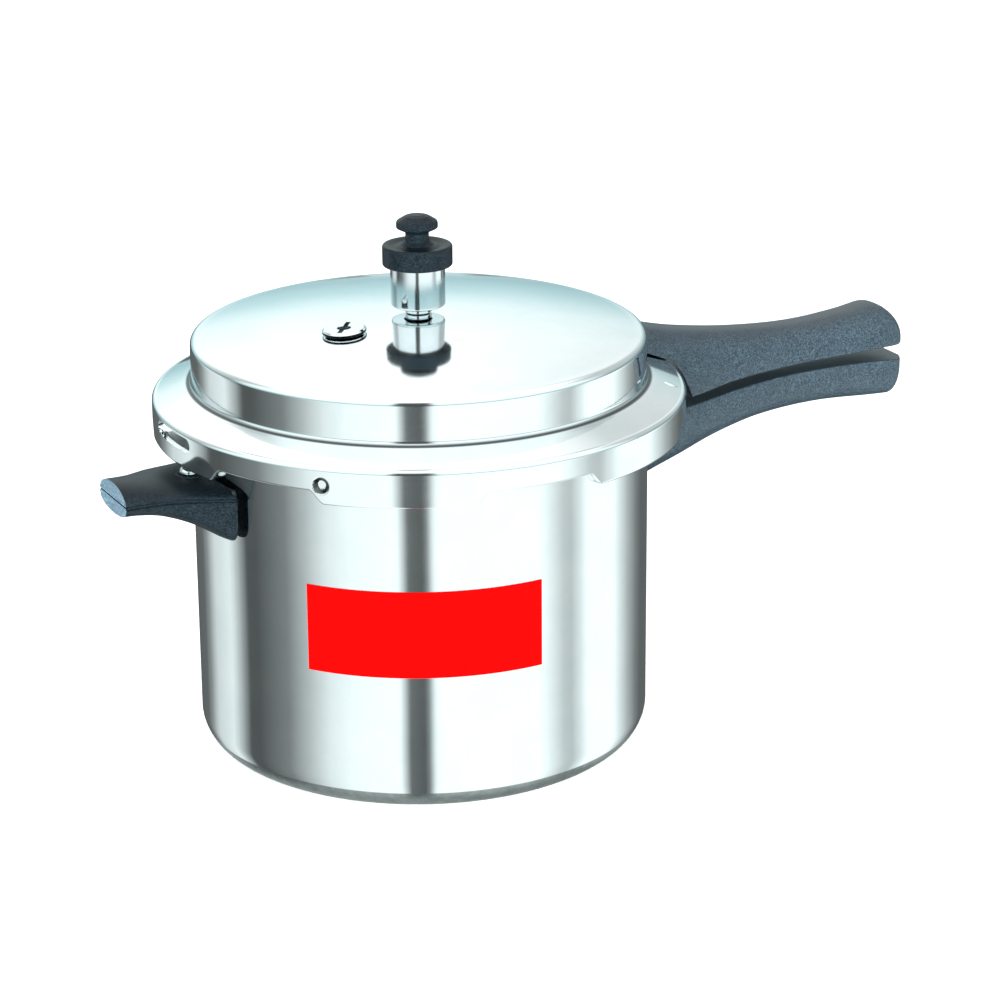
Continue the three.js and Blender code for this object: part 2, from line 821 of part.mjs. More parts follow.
put('lid_shell', lidShell(), 'polish');
put('lid_handle', lidHandle(), 'bakelite');
put('lid_handle_bracket', bracket(LID_BRACKET), 'cast');
put('lid_handle_screw', lidHandleScrew(), 'steel');
const lidUnderside = LID.crown - LID.sheet;
put('vent_tube', ventTube(), 'brass');
put('vent_tube_washer', washer(VENT.shankR + GAP, 9, lidUnderside - GAP, 1.6), 'rubber');
put('vent_tube_nut', hexNut(VENT.shankR + GAP, 15, lidUnderside - 2.2, 4.4), 'brass');
put('safety_plug_body', inPlugFrame(plugBody()), 'steel');
put('safety_plug_core', inPlugFrame(rod(PLUG.coreR, PLUG.foot + 1, PLUG.slotFloor - GAP)), 'fusible');
put('safety_plug_washer', inPlugFrame(washer(PLUG.shankR + GAP, 9.5, -LID.sheet - 0.4, 1.6)), 'rubber');
put('safety_plug_nut', inPlugFrame(hexNut(PLUG.shankR + GAP, 20, -LID.sheet - 2.4, 3.6)), 'steel');

put('weight_needle', weightNeedle(), 'steel');
put('weight_needle_clip', tube(2.6, 4.8, 224.5, 225.6), 'steel');
put('weight_body', weightBody(), 'steel');
put('weight_cap', weightCap(), 'bakelite');

export default cooker;
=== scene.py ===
import math

import bmesh
import bpy
from mathutils import Matrix, Vector

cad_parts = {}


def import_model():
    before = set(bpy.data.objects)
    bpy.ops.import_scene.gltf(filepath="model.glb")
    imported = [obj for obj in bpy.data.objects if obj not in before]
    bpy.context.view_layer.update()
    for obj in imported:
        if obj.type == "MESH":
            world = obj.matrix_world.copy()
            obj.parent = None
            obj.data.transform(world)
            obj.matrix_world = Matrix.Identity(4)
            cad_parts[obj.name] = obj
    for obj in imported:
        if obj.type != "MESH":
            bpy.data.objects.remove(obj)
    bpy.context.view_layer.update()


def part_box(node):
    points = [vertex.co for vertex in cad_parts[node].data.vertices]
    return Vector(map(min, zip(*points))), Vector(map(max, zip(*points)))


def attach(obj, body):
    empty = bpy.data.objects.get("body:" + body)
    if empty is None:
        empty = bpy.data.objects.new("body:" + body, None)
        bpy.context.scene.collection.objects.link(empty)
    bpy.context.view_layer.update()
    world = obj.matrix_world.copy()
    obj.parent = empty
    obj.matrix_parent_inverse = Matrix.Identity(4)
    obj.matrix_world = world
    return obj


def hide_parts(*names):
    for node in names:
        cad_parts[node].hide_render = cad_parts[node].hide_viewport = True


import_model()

# Shapes are worked out in millimetres, and skin() turns them into metres.
MM = 0.001


def low(node, axis):
    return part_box(node)[0][axis] / MM


def high(node, axis):
    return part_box(node)[1][axis] / MM


# ---- driving dimensions, in millimetres ----
POT_R = 105.0
POT_WALL = 3.2
POT_BASE = 4.0
POT_TOP = high("pot_body", 2)
POT_CORNER = 15.5
MATTE_TOP = 10.2  # the matte foot ends here, on the corner
RIM_R = 110.5
TAB_R = high("pot_body", 0)
TAB_LOW = 154.0
TAB_HIGH = 156.8
LUGS = 6

SKIRT_R = high("lid_shell", 1)
SKIRT_LOW = low("lid_shell", 2)
SKIRT_WALL = 2.4
SKIRT_TOP = 167.4
NOTCH_Z = 157.0
LIP_R = 112.0
SHEET = 2.6
DRUM_R = 104.3
DRUM_CORNER = 3.2
FOOT_R = 106.0
FOOT_Z = 173.8
CROWN = 203.4
SAG = 9.0
DENTS = (-136, -16, 104)
DENT_Z = 159.7
MARK_ANGLE = -31
MARK_R = 115.2
LABEL_MIDDLE = -115
LABEL_HALF = 29.4

CAP_TOP = high("weight_cap", 2)
WEIGHT_LOW = low("weight_body", 2)
TUBE_TOP = high("vent_tube", 2)
GRIP_END = high("lid_handle", 0)
HELPER_END = -low("helper_handle", 0)
GAP = 0.3

VENT_HOLE_R = 4.3
VENT_NUT = 15  # across corners, as is the plug's
PLUG_HOLE_R = 6.3
PLUG_NUT = 20
PLUG_R = 43.0
PLUG_ANGLE = -166
PLUG_TOP = 2.7  # of the head above the dome

RIVET_R = 2.0
RIVET_HEAD = 3.4
RIVET_Y = 12.0  # of each rivet of a pair, from the handle's middle
POT_RIVET_Z = 121
HELPER_RIVET_Z = 126
LID_RIVET_Z = 180
POT_SCREW_X = 143
LID_SCREW_X = 145
HELPER_SCREW_X = 114.5
HELPER_SEAT = 144.4  # height of the boss under the helper handle's screw

ROUND = 256  # columns of a large turned piece
FINE = 96  # columns of a small one


# ---- small maths ----
def lerp(a, b, t):
    return a + (b - a) * t


def smooth(t):
    t = min(1.0, max(0.0, t))
    return t * t * (3 - 2 * t)


def spread(a, b, count):
    return [lerp(a, b, i / (count - 1)) for i in range(count)]


def turn(r, z, degrees):
    a = math.radians(degrees)
    return (r * math.cos(a), r * math.sin(a), z)


def arc(cx, cz, r, start, end, steps=6):
    angles = (math.radians(a) for a in spread(start, end, steps + 1))
    return [(cx + r * math.cos(a), cz + r * math.sin(a)) for a in angles]


def power(value, exponent):
    return math.copysign(abs(value) ** exponent, value)


def along(knots, x):
    """A smooth line through (x, value) knots."""
    if x <= knots[0][0]:
        return knots[0][1]
    if x >= knots[-1][0]:
        return knots[-1][1]
    i = max(k for k in range(len(knots) - 1) if knots[k][0] <= x)

    def slope(k):
        a, b = max(0, k - 1), min(len(knots) - 1, k + 1)
        return (knots[b][1] - knots[a][1]) / (knots[b][0] - knots[a][0])

    width = knots[i + 1][0] - knots[i][0]
    t = (x - knots[i][0]) / width
    rise = (2 * t**3 - 3 * t**2 + 1) * knots[i][1] + (3 * t**2 - 2 * t**3) * knots[i + 1][1]
    return rise + width * ((t**3 - 2 * t**2 + t) * slope(i) + (t**3 - t**2) * slope(i + 1))


def rounded(corners, steps=6, guard=0.35):
    """A closed outline through (r, z, radius) corners, with guard points beside each arc."""
    outline = []
    count = len(corners)
    for i, (r, z, radius) in enumerate(corners):
        here = Vector((r, z))
        before = Vector(corners[i - 1][:2]) - here
        after = Vector(corners[(i + 1) % count][:2]) - here
        if radius == 0:
            outline.append((r, z))
            continue
        u, v = before.normalized(), after.normalized()
        half = u.angle(v) / 2
        reach = min(radius / math.tan(half), before.length * 0.49, after.length * 0.49)
        start, end = here + u * reach, here + v * reach
        centre = here + (u + v).normalized() * reach / math.cos(half)
        if before.length > 2 * (reach + guard):
            outline.append(tuple(start + u * guard))
        a, b = start - centre, end - centre
        for t in spread(0, 1, steps + 1):
            outline.append(tuple(centre + a.slerp(b, t) * a.length))  # slerp is of unit length
        if after.length > 2 * (reach + guard):
            outline.append(tuple(end + v * guard))
    return outline


# ---- meshes ----
def settle(obj, sharp=38):
    """Faces point out, and shading is smooth except over sharp edges."""
    mesh = obj.data
    bm = bmesh.new()
    bm.from_mesh(mesh)
    bmesh.ops.remove_doubles(bm, verts=bm.verts, dist=2e-6)
    bmesh.ops.recalc_face_normals(bm, faces=bm.faces)
    bm.to_mesh(mesh)
    bm.free()
    mesh.shade_smooth()
    mesh.set_sharp_from_angle(angle=math.radians(sharp))
    return obj


def placed(name, data):
    obj = bpy.data.objects.new(name, data)
    bpy.context.scene.collection.objects.link(obj)
    return obj


def skin(name, rings, loop=False):
    """A closed mesh over rings of points, with a flat face or a pole at each end."""
    verts = []
    starts = []
    for ring in rings:
        starts.append(len(verts))
        verts.extend(Vector(p) * MM for p in ring)
    faces = []
    pairs = [(i, i + 1) for i in range(len(rings) - 1)]
    if loop:
        pairs.append((len(rings) - 1, 0))
    for a, b in pairs:
        size = max(len(rings[a]), len(rings[b]))
        for i in range(size):
            j = (i + 1) % size
            near = [starts[a] + k for k in ((i, j) if len(rings[a]) > 1 else (0,))]
            far = [starts[b] + k for k in ((j, i) if len(rings[b]) > 1 else (0,))]
            faces.append(near + far)
    if not loop:
        for k in (0, -1):
            if len(rings[k]) > 2:
                faces.append([starts[k] + i for i in range(len(rings[k]))])
    mesh = bpy.data.meshes.new(name)
    mesh.from_pydata(verts, [], faces)
    return settle(placed(name, mesh))


def turned(name, outline, columns=FINE):
    """A piece turned about Z from a closed (r, z) outline. Points with r = 0 are poles."""
    angles = [360 * i / columns for i in range(columns)]
    on_axis = [i for i, (r, _) in enumerate(outline) if r < 1e-6]
    if on_axis:
        first = on_axis[-1]
        outline = outline[first:] + outline[:first]
    rings = []
    for r, z in outline:
        rings.append([(0, 0, z)] if r < 1e-6 else [turn(r, z, a) for a in angles])
    return skin(name, rings, loop=not on_axis)


def rod(name, r, bottom, top, columns=FINE):
    return turned(name, [(0, bottom), (r, bottom), (r, top), (0, top)], columns)


def lathed(name, profile, angles, start_z, end_z):
    """A shell whose (r, z) profile changes with the angle, with a pole at each end."""
    columns = [[turn(r, z, a) for r, z in profile(a)] for a in angles]
    return skin(name, [[(0, 0, start_z)], *zip(*columns), [(0, 0, end_z)]])


def upright(u, v, w):
    """Stands a prism's outline up in the XZ plane."""
    return (u, w, v)


def prism(name, outline, span, place=upright):
    """A closed outline pushed through a span; place turns (u, v, w) into x, y, z."""
    return skin(name, [[place(u, v, w) for u, v in outline] for w in span])


def cut(obj, *tools, add=()):
    """Joins each added piece to obj, subtracts each tool from it, and removes them all."""
    steps = [("UNION", piece) for piece in add] + [("DIFFERENCE", tool) for tool in tools]
    for operation, other in steps:
        modifier = obj.modifiers.new("cut", "BOOLEAN")
        modifier.operation = operation
        modifier.solver = "MANIFOLD"
        modifier.object = other
    depsgraph = bpy.context.evaluated_depsgraph_get()
    mesh = bpy.data.meshes.new_from_object(obj.evaluated_get(depsgraph))
    obj.modifiers.clear()
    obj.data = mesh
    for _, other in steps:
        bpy.data.objects.remove(other)
    return settle(obj)


def shifted(obj, matrix):
    obj.data.transform(matrix)
    return obj


def move(x, y, z):
    return Matrix.Translation(Vector((x, y, z)) * MM)


def spin(degrees, axis="Z"):
    return Matrix.Rotation(math.radians(degrees), 4, axis)


def rivet_tool(r, near, far, z, side):
    """Cutter along the radius at angle 0, for one rivet of a pair."""
    tool = rod("rivet_tool", r, near, far)
    return shifted(tool, move(0, side * RIVET_Y, z) @ spin(90, "Y"))


def rivet_holes(wall_r, z, angle=0):
    holes = [rivet_tool(RIVET_R + GAP, wall_r - 14, wall_r + 14, z, side) for side in (-1, 1)]
    return [shifted(hole, spin(angle)) for hole in holes]


def rivet_pockets(wall_r, z):
    """Room in a handle for the heads of its rivets."""
    return [rivet_tool(RIVET_HEAD + 1, wall_r - 1, wall_r + 6.7, z, side) for side in (-1, 1)]


# ---- materials ----
class Nodes:
    """A node tree, with short calls for the nodes used here."""

    def __init__(self, tree, place):
        self.tree = tree
        self.place = self.node("ShaderNodeTexCoord").outputs[place]

    def node(self, kind, **settings):
        node = self.tree.nodes.new(kind)
        for key, value in settings.items():
            setattr(node, key, value)
        return node

    def link(self, source, target):
        self.tree.links.new(source, target)

    def feed(self, value, socket):
        """Links a node's output to a socket, or sets the socket to a number or a colour."""
        if isinstance(value, bpy.types.NodeSocket):
            self.link(value, socket)
        else:
            socket.default_value = (*value, 1) if isinstance(value, tuple) else value

    def maths(self, operation, *values):
        node = self.node("ShaderNodeMath", operation=operation)
        for value, socket in zip(values, node.inputs):
            self.feed(value, socket)
        return node.outputs[0]

    def axis(self, name):
        split = self.node("ShaderNodeSeparateXYZ")
        self.link(self.place, split.inputs[0])
        return split.outputs[name]

    def radius(self):
        squares = [self.maths("MULTIPLY", side, side) for side in (self.axis("X"), self.axis("Y"))]
        return self.maths("SQRT", self.maths("ADD", *squares))

    def vector(self, *values):
        node = self.node("ShaderNodeCombineXYZ")
        for value, socket in zip(values, node.inputs):
            self.feed(value, socket)
        return node.outputs[0]

    def noise(self, scale, detail=2.0, rough=0.5, vector=None):
        node = self.node("ShaderNodeTexNoise")
        node.inputs["Scale"].default_value = scale
        node.inputs["Detail"].default_value = detail
        node.inputs["Roughness"].default_value = rough
        self.link(vector or self.place, node.inputs["Vector"])
        return node.outputs["Fac"]

    def ramp(self, source, *stops):
        node = self.node("ShaderNodeValToRGB")
        elements = node.color_ramp.elements
        while len(elements) < len(stops):
            elements.new(0.5)
        for element, (position, value) in zip(elements, stops):
            element.position = position
            colour = (value,) * 3 if isinstance(value, float) else value
            element.color = (*colour, 1)
        self.link(source, node.inputs["Fac"])
        return node.outputs["Color"]

    def range(self, source, a, b, c, d):
        node = self.node("ShaderNodeMapRange")
        for key, value in (("From Min", a), ("From Max", b), ("To Min", c), ("To Max", d)):
            node.inputs[key].default_value = value
        self.link(source, node.inputs["Value"])
        return node.outputs["Result"]

    def blend(self, factor, a, b, kind="MIX"):
        node = self.node("ShaderNodeMix", data_type="RGBA", blend_type=kind)
        for value, socket in ((factor, "Factor"), (a, "A"), (b, "B")):
            self.feed(value, node.inputs[socket])
        return node.outputs["Result"]


class Finish(Nodes):
    """A material on the standard surface shader, with plain values for some of its sockets."""

    def __init__(self, name, **values):
        self.material = bpy.data.materials.new(name)
        self.material.use_nodes = True
        super().__init__(self.material.node_tree, "Object")
        self.shader = self.tree.nodes["Principled BSDF"]
        for socket, value in values.items():
            self.feed(value, self.shader.inputs[socket.replace("_", " ")])

    def set(self, socket, source):
        self.link(source, self.shader.inputs[socket])

    def bump(self, height, strength, distance, after=None):
        node = self.node("ShaderNodeBump")
        node.inputs["Strength"].default_value = strength
        node.inputs["Distance"].default_value = distance
        self.link(height, node.inputs["Height"])
        if after is not None:
            self.link(after, node.inputs["Normal"])
        self.set("Normal", node.outputs["Normal"])
        return node.outputs["Normal"]


def polished_aluminium(name, foot=None, crease=None):
    """Buffed aluminium: fine rings left by the mop and faint rubs. It can have a matte foot up to
    one height, and painted shade, dark and rougher, in the crease at one radius."""
    m = Finish(name, Metallic=1.0)
    across = m.maths("MULTIPLY", m.radius(), 2600)
    rings = m.noise(1.0, 3.0, 0.6, m.vector(across, 0.0, m.maths("MULTIPLY", m.axis("Z"), 2600)))
    rubs = m.noise(42.0, 4.0, 0.65)
    colour = m.ramp(rubs, (0.3, (0.80, 0.865, 0.875)), (0.7, (0.87, 0.92, 0.925)))
    rough = m.range(m.maths("ADD", rings, m.maths("MULTIPLY", rubs, 0.6)), 0.5, 1.1, 0.045, 0.12)
    if foot:
        matte = m.range(m.axis("Z"), foot * MM, (foot + 0.5) * MM, 1.0, 0.0)
        brushed = m.noise(260.0, 3.0, 0.7)
        grey = m.ramp(brushed, (0.3, (0.25, 0.275, 0.265)), (0.7, (0.37, 0.40, 0.39)))
        colour = m.blend(matte, colour, grey)
        rough = m.maths("ADD", rough, m.maths("MULTIPLY", matte, 0.38))
    # Painted shade: along the crease at this radius the colour is darkened to near black.
    if crease:
        away = m.maths("ABSOLUTE", m.maths("SUBTRACT", m.radius(), crease * MM))
        crease_shade = m.range(away, 0.5 * MM, 1.3 * MM, 1.0, 0.0)
        colour = m.blend(crease_shade, colour, (0.10, 0.115, 0.12))
        rough = m.maths("ADD", rough, m.maths("MULTIPLY", crease_shade, 0.3))
    m.set("Base Color", colour)
    m.set("Roughness", rough)
    m.bump(rings, 0.05, 0.00004)
    return m.material


def satin_metal(name, dark, light, rough, grain=320.0):
    m = Finish(name, Metallic=1.0)
    speckle = m.noise(grain, 3.0, 0.6)
    m.set("Base Color", m.ramp(speckle, (0.3, dark), (0.7, light)))
    m.set("Roughness", m.range(speckle, 0.3, 0.7, rough * 0.8, rough * 1.2))
    m.bump(speckle, 0.15, 0.00005)
    return m.material


def turned_steel(name, tint, rough):
    """Chromed steel with the faint rings of turning."""
    m = Finish(name, Metallic=1.0)
    rings = m.noise(1.0, 2.0, 0.5, m.vector(0.0, 0.0, m.maths("MULTIPLY", m.axis("Z"), 5200)))
    smear = m.noise(140.0, 3.0, 0.6)
    m.set("Base Color", m.ramp(smear, (0.3, tuple(0.93 * c for c in tint)), (0.7, tint)))
    m.set("Roughness", m.range(rings, 0.35, 0.65, rough * 0.7, rough * 1.4))
    m.bump(rings, 0.06, 0.00003)
    return m.material


def bakelite(name, lift=1.0, gloss=0.5):
    """Moulded phenolic: dark slate with a fine pale fleck and a slightly rippled skin."""
    m = Finish(name, Metallic=0.0, Specular_IOR_Level=gloss)
    fleck = m.noise(1500.0, 2.0, 0.7)
    cloud = m.noise(60.0, 4.0, 0.6)
    dark, pale = (0.005, 0.010, 0.018), (0.046, 0.082, 0.100)
    base = m.ramp(fleck, (0.42, tuple(c * lift for c in dark)), (0.72, tuple(c * lift for c in pale)))
    tone = m.ramp(cloud, (0.3, 0.82), (0.7, 1.0))
    m.set("Base Color", m.blend(1.0, base, tone, "MULTIPLY"))
    m.set("Roughness", m.range(fleck, 0.3, 0.7, 0.30, 0.46))
    m.bump(fleck, 0.22, 0.00006, m.bump(cloud, 0.12, 0.0003))
    return m.material


def rubber(name, dark, light):
    m = Finish(name, Metallic=0.0, Specular_IOR_Level=0.35, Sheen_Weight=0.08)
    dust = m.noise(240.0, 4.0, 0.65)
    m.set("Base Color", m.ramp(dust, (0.3, dark), (0.75, light)))
    m.set("Roughness", m.range(dust, 0.3, 0.7, 0.55, 0.78))
    m.bump(dust, 0.2, 0.00008)
    return m.material


def printed_foil(name):
    """A red foil label: glossy varnish over ink, with a trace of orange peel."""
    m = Finish(name, Metallic=0.0, Coat_Weight=0.01, Coat_Roughness=0.3, Specular_IOR_Level=0.01)
    ink = m.noise(900.0, 2.0, 0.6)
    m.set("Base Color", m.ramp(ink, (0.3, (0.33, 0.0003, 0.0002)), (0.7, (0.38, 0.0005, 0.0004))))
    m.set("Roughness", m.range(m.noise(70.0, 3.0), 0.3, 0.7, 0.3, 0.42))
    m.bump(m.noise(190.0, 2.0), 0.05, 0.0001)
    return m.material


MAT = {
    "pot": polished_aluminium("pot_polish", foot=MATTE_TOP),
    # The lid's polish has painted shade in the concave crease at the drum's foot.
    "lid": polished_aluminium("lid_polish", crease=FOOT_R - 0.2),
    # Painted shade: a darker satin metal for the sloped walls of the skirt's dents.
    "dent_shade": satin_metal("painted_dent_shade", (0.06, 0.065, 0.065), (0.16, 0.17, 0.165), 0.22),
    # Painted shadow: near-black metal for the safety plug's edge and slot.
    "shadowed": satin_metal("plug_painted_shadow", (0.008, 0.009, 0.010), (0.02, 0.022, 0.024), 0.35),
    "cast": satin_metal("cast_aluminium", (0.50, 0.52, 0.53), (0.66, 0.68, 0.69), 0.4),
    "zinc": satin_metal("zinc_plate", (0.56, 0.58, 0.58), (0.74, 0.76, 0.76), 0.26, 500.0),
    "steel": turned_steel("chromed_steel", (0.80, 0.86, 0.88), 0.09),
    "brass": turned_steel("turned_brass", (0.74, 0.58, 0.32), 0.2),
    "bakelite": bakelite("bakelite"),
    "dark_bakelite": bakelite("bakelite_dark", lift=0.3, gloss=0.16),
    # Painted light: a four times lighter copy of the bakelite, for the helper handle's end face.
    "painted_end_light": bakelite("bakelite_painted_light", lift=4.0),
    "gasket": rubber("gasket_rubber", (0.52, 0.55, 0.55), (0.66, 0.68, 0.67)),
    "label": printed_foil("label_foil"),
    "fusible": satin_metal("fusible_metal", (0.03, 0.032, 0.035), (0.07, 0.072, 0.078), 0.55),
}


def dress(obj, material, body, slot, *nodes):
    """Gives a piece its material and body, and hides the CAD nodes that it stands for. The slot is not used.
    """
    obj.data.materials.clear()
    obj.data.materials.append(MAT[material])
    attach(obj, body)
    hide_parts(*nodes)
    return obj


# ---- pot ----
def lug_offset(angle):
    """Degrees from the nearest lug's middle."""
    step = 360 / LUGS
    return abs((angle + step / 2) % step - step / 2)


def pot_angles():
    angles = [360 * i / ROUND for i in range(ROUND)]
    for lug in range(LUGS):
        for side in (-1, 1):
            angles += [60 * lug + side * a for a in spread(11.2, 13.4, 12)]
    return sorted({round(a % 360, 4) for a in angles})


def pot_profile(angle):
    reach = lerp(TAB_R, RIM_R, smooth((lug_offset(angle) - 11.6) / 1.4))
    inside = POT_R - POT_WALL
    corner = POT_CORNER - POT_WALL
    tab = (TAB_HIGH - TAB_LOW) / 2
    return [
        *[(r, 0.0) for r in (30, 60, 84, 88.5)],
        *arc(POT_R - POT_CORNER, POT_CORNER, POT_CORNER, -90, 0, 16),
        (POT_R, 18),
        (POT_R, TAB_LOW - 1.6),
        (POT_R, TAB_LOW - 1.2),
        (POT_R + 0.3, TAB_LOW - 0.3),
        (POT_R + 1.2, TAB_LOW),
        *[(lerp(POT_R + 1.2, reach - tab, t), TAB_LOW) for t in (0.5, 0.95)],
        *arc(reach - tab, TAB_LOW + tab, tab, -90, 90, 8),
        *[(lerp(reach - tab, RIM_R - 0.4, t), TAB_HIGH) for t in (0.1, 0.9)],
        (RIM_R - 0.1, TAB_HIGH + 0.3),
        *arc(RIM_R - 1.9, POT_TOP - 1.9, 1.9, 0, 90, 8),
        (inside + 1.8, POT_TOP),
        *arc(inside + 1.2, POT_TOP - 1.2, 1.2, 90, 180, 6),
        (inside, POT_TOP - 1.8),
        (inside, 20),
        *arc(inside - corner, POT_BASE + corner, corner, 0, -90, 12),
        *[(r, POT_BASE) for r in (84, 60, 30)],
    ]


def pot_shell():
    shell = lathed("pot_shell", pot_profile, pot_angles(), 0, POT_BASE)
    return cut(shell, *rivet_holes(POT_R, POT_RIVET_Z), *rivet_holes(POT_R, HELPER_RIVET_Z, 180))


def label_foil():
    lo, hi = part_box("front_label")
    inner, outer = POT_R + 0.04, POT_R + 0.3
    angles = spread(LABEL_MIDDLE - LABEL_HALF, LABEL_MIDDLE + LABEL_HALF, 97)
    bottom, top = lo.z / MM, hi.z / MM
    rings = []
    for a in angles:
        edge = 0.12 if a in (angles[0], angles[-1]) else 0
        loop = [(inner, bottom), (outer - edge, bottom), (outer - edge, top), (inner, top)]
        rings.append([turn(r, z, a) for r, z in loop])
    return skin("label_foil", rings)


dress(pot_shell(), "pot", "pot", "polished_aluminium", "pot_body")
dress(label_foil(), "label", "pot", "label", "front_label")


# ---- lid ----
def dome_z(r):
    return CROWN - SAG * (r / 100) ** 2


def flange_z(r):
    return lerp(FOOT_Z, SKIRT_TOP, (r - FOOT_R) / (SKIRT_R - FOOT_R))


def lid_angles():
    angles = [360 * i / ROUND for i in range(ROUND)]
    for lug in range(LUGS):
        for side in (-1, 1):
            angles += [60 * lug + side * a for a in spread(14.8, 19.6, 22)]
    for dent in DENTS:
        angles += [dent + a for a in spread(-2.7, 2.7, 41)]
    angles += [MARK_ANGLE + a for a in spread(-2.4, 2.4, 41)]
    return sorted({round(a % 360, 3) for a in angles})


def dent_depth(angle, z):
    """How far a retaining dent pushes the skirt in at this angle and height."""
    for dent in DENTS:
        away = (angle - dent + 180) % 360 - 180
        distance = math.hypot(math.radians(away) * SKIRT_R, z - DENT_Z)
        if distance < 4.6:
            return 2.2 * (1 - smooth((distance - 1.7) / 2.5))
    return 0.0


def mark_rise(r, angle):
    """The small embossed lens that shows where the lid opens."""
    away = math.radians((angle - MARK_ANGLE + 180) % 360 - 180) * r
    lens = 1 - math.hypot((r - MARK_R) / 3.4, away / 1.5)
    return 0.55 * smooth(lens / 0.45) if lens > 0 else 0.0


def lid_profile(angle):
    step = smooth((lug_offset(angle) - 15.3) / 3.6)
    foot = lerp(SKIRT_LOW, NOTCH_Z, step)
    inner = SKIRT_R - SKIRT_WALL
    lip = lerp(LIP_R, inner - 0.1, smooth((lug_offset(angle) - 14.9) / 2.4))
    edge = DRUM_R - DRUM_CORNER
    edge_z = dome_z(edge) - DRUM_CORNER
    tilt = math.degrees(math.atan2(SKIRT_R - FOOT_R, FOOT_Z - SKIRT_TOP))
    drum = [
        *[(edge * t, dome_z(edge * t)) for t in spread(0.04, 1, 30)],
        *arc(edge, edge_z, DRUM_CORNER, 80, 0, 9),
        (DRUM_R, edge_z - 0.6),
        (DRUM_R, FOOT_Z + 2.6),
        *arc(FOOT_R + 0.5, FOOT_Z + 2.0, 2.2, 180, 180 + tilt, 6),
    ]
    flange = [(r, flange_z(r) + mark_rise(r, angle)) for r in spread(FOOT_R + 2.2, SKIRT_R - 2.2, 40)]
    shoulder = arc(SKIRT_R - 2.4, flange_z(SKIRT_R - 2.4) - 2.32, 2.4, 68, 0, 7)
    top = shoulder[-1][1] - 0.3
    skirt = [(SKIRT_R - dent_depth(angle, z), z) for z in spread(top, foot + 1.5, 34)]
    hem = arc(SKIRT_R - 1.1, foot + 1.1, 1.1, 0, -90, 5)
    lips = [
        *[(lerp(SKIRT_R - 1.5, lip + 1.2, t), foot) for t in (0.3, 0.9)],
        *arc(lip + 1.25, foot + 1.25, 1.25, -90, -270, 6),
        *[(lerp(lip + 1.3, inner - 0.9, t), foot + 2.5) for t in (0.3, 0.9)],
        (inner - 0.2, foot + 2.8),
    ]
    inside = [(inner - dent_depth(angle, z), z) for z in spread(foot + 3.4, 163.4, 22)]
    under = [
        (inner - 0.4, 164.8),
        (inner - 1.6, flange_z(inner - 1.6) - SHEET),
        *[(r, flange_z(r) - SHEET) for r in (116, 112, 108)],
        (FOOT_R - 0.5, flange_z(FOOT_R - 0.5) - SHEET),
        *arc(DRUM_R - SHEET + 2.4, FOOT_Z + 1.0, 2.4, 235, 180, 4),
        (DRUM_R - SHEET, edge_z - 0.8),
        *arc(edge - 1, edge_z - 0.8, DRUM_CORNER - SHEET + 1.0, 10, 80, 5),
        *[(edge * t, dome_z(edge * t) - SHEET) for t in spread(0.96, 0.05, 12)],
    ]
    return [*drum, *flange, *shoulder, *skirt, *hem, *lips, *inside, *under]


def release_slot():
    """Cutter for the gasket release slot over the helper handle."""
    half, r, middle = 18.5, 3.3, 162.6
    outline = [(half - r + x, middle + z) for x, z in arc(0, 0, r, -90, 90, 14)]
    outline += [(-half + r + x, middle + z) for x, z in arc(0, 0, r, 90, 270, 14)]
    return prism("slot_tool", outline, (-SKIRT_R + 5, -SKIRT_R - 4), lambda u, v, w: (w, u, v))


PLUG_TILT = math.degrees(math.atan(2 * SAG * PLUG_R / 100**2))
PLUG_FRAME = spin(PLUG_ANGLE) @ move(PLUG_R, 0, dome_z(PLUG_R)) @ spin(PLUG_TILT, "Y")


def lid_shell():
    lid = lathed("lid_shell_fine", lid_profile, lid_angles(), CROWN, CROWN - SHEET)
    plug_hole = rod("plug_hole", PLUG_HOLE_R, -9, 9)
    vent_hole = rod("vent_hole", VENT_HOLE_R, 190, 210)
    holes = rivet_holes(DRUM_R, LID_RIVET_Z)
    return cut(lid, release_slot(), shifted(plug_hole, PLUG_FRAME), vent_hole, *holes)


def paint(obj, material, chosen):
    """Gives the chosen faces a second material."""
    obj.data.materials.append(MAT[material])
    for face in obj.data.polygons:
        if chosen(face.center / MM, face.normal):
            face.material_index = len(obj.data.materials) - 1


# Faces that get the painted dent shade: the sloped walls of each dent, with its floor left polished.
def in_dent(centre, _normal):
    if centre.to_2d().length < SKIRT_R - 3:
        return False
    return 0.25 < dent_depth(math.degrees(math.atan2(centre.y, centre.x)), centre.z) < 2.15


lid_piece = dress(lid_shell(), "lid", "lid", "polished_aluminium", "lid_shell")
# Painted shade in the skirt's dents.
paint(lid_piece, "dent_shade", in_dent)


# ---- gasket ----
def gasket_ring():
    floor = POT_TOP + GAP
    roof = lambda r: flange_z(r) - SHEET - 0.5
    outline = rounded([
        (105, floor, 0.5),
        (116.2, floor, 0.8),
        (118.8, floor + 2.4, 0.6),
        (118.8, roof(118.8) - 0.5, 0.6),
        (117.6, roof(117.6), 0.5),
        (105.5, roof(105.5), 0.5),
        (105.5, roof(105.5) - 2.2, 0.6),
        (114.6, 165.6, 0.9),
        (114.6, floor + 1.9, 0.9),
        (105, floor + 1.5, 0.5),
    ], 4)
    return turned("gasket_ring", outline, ROUND)


dress(gasket_ring(), "gasket", "gasket", "rubber", "gasket")


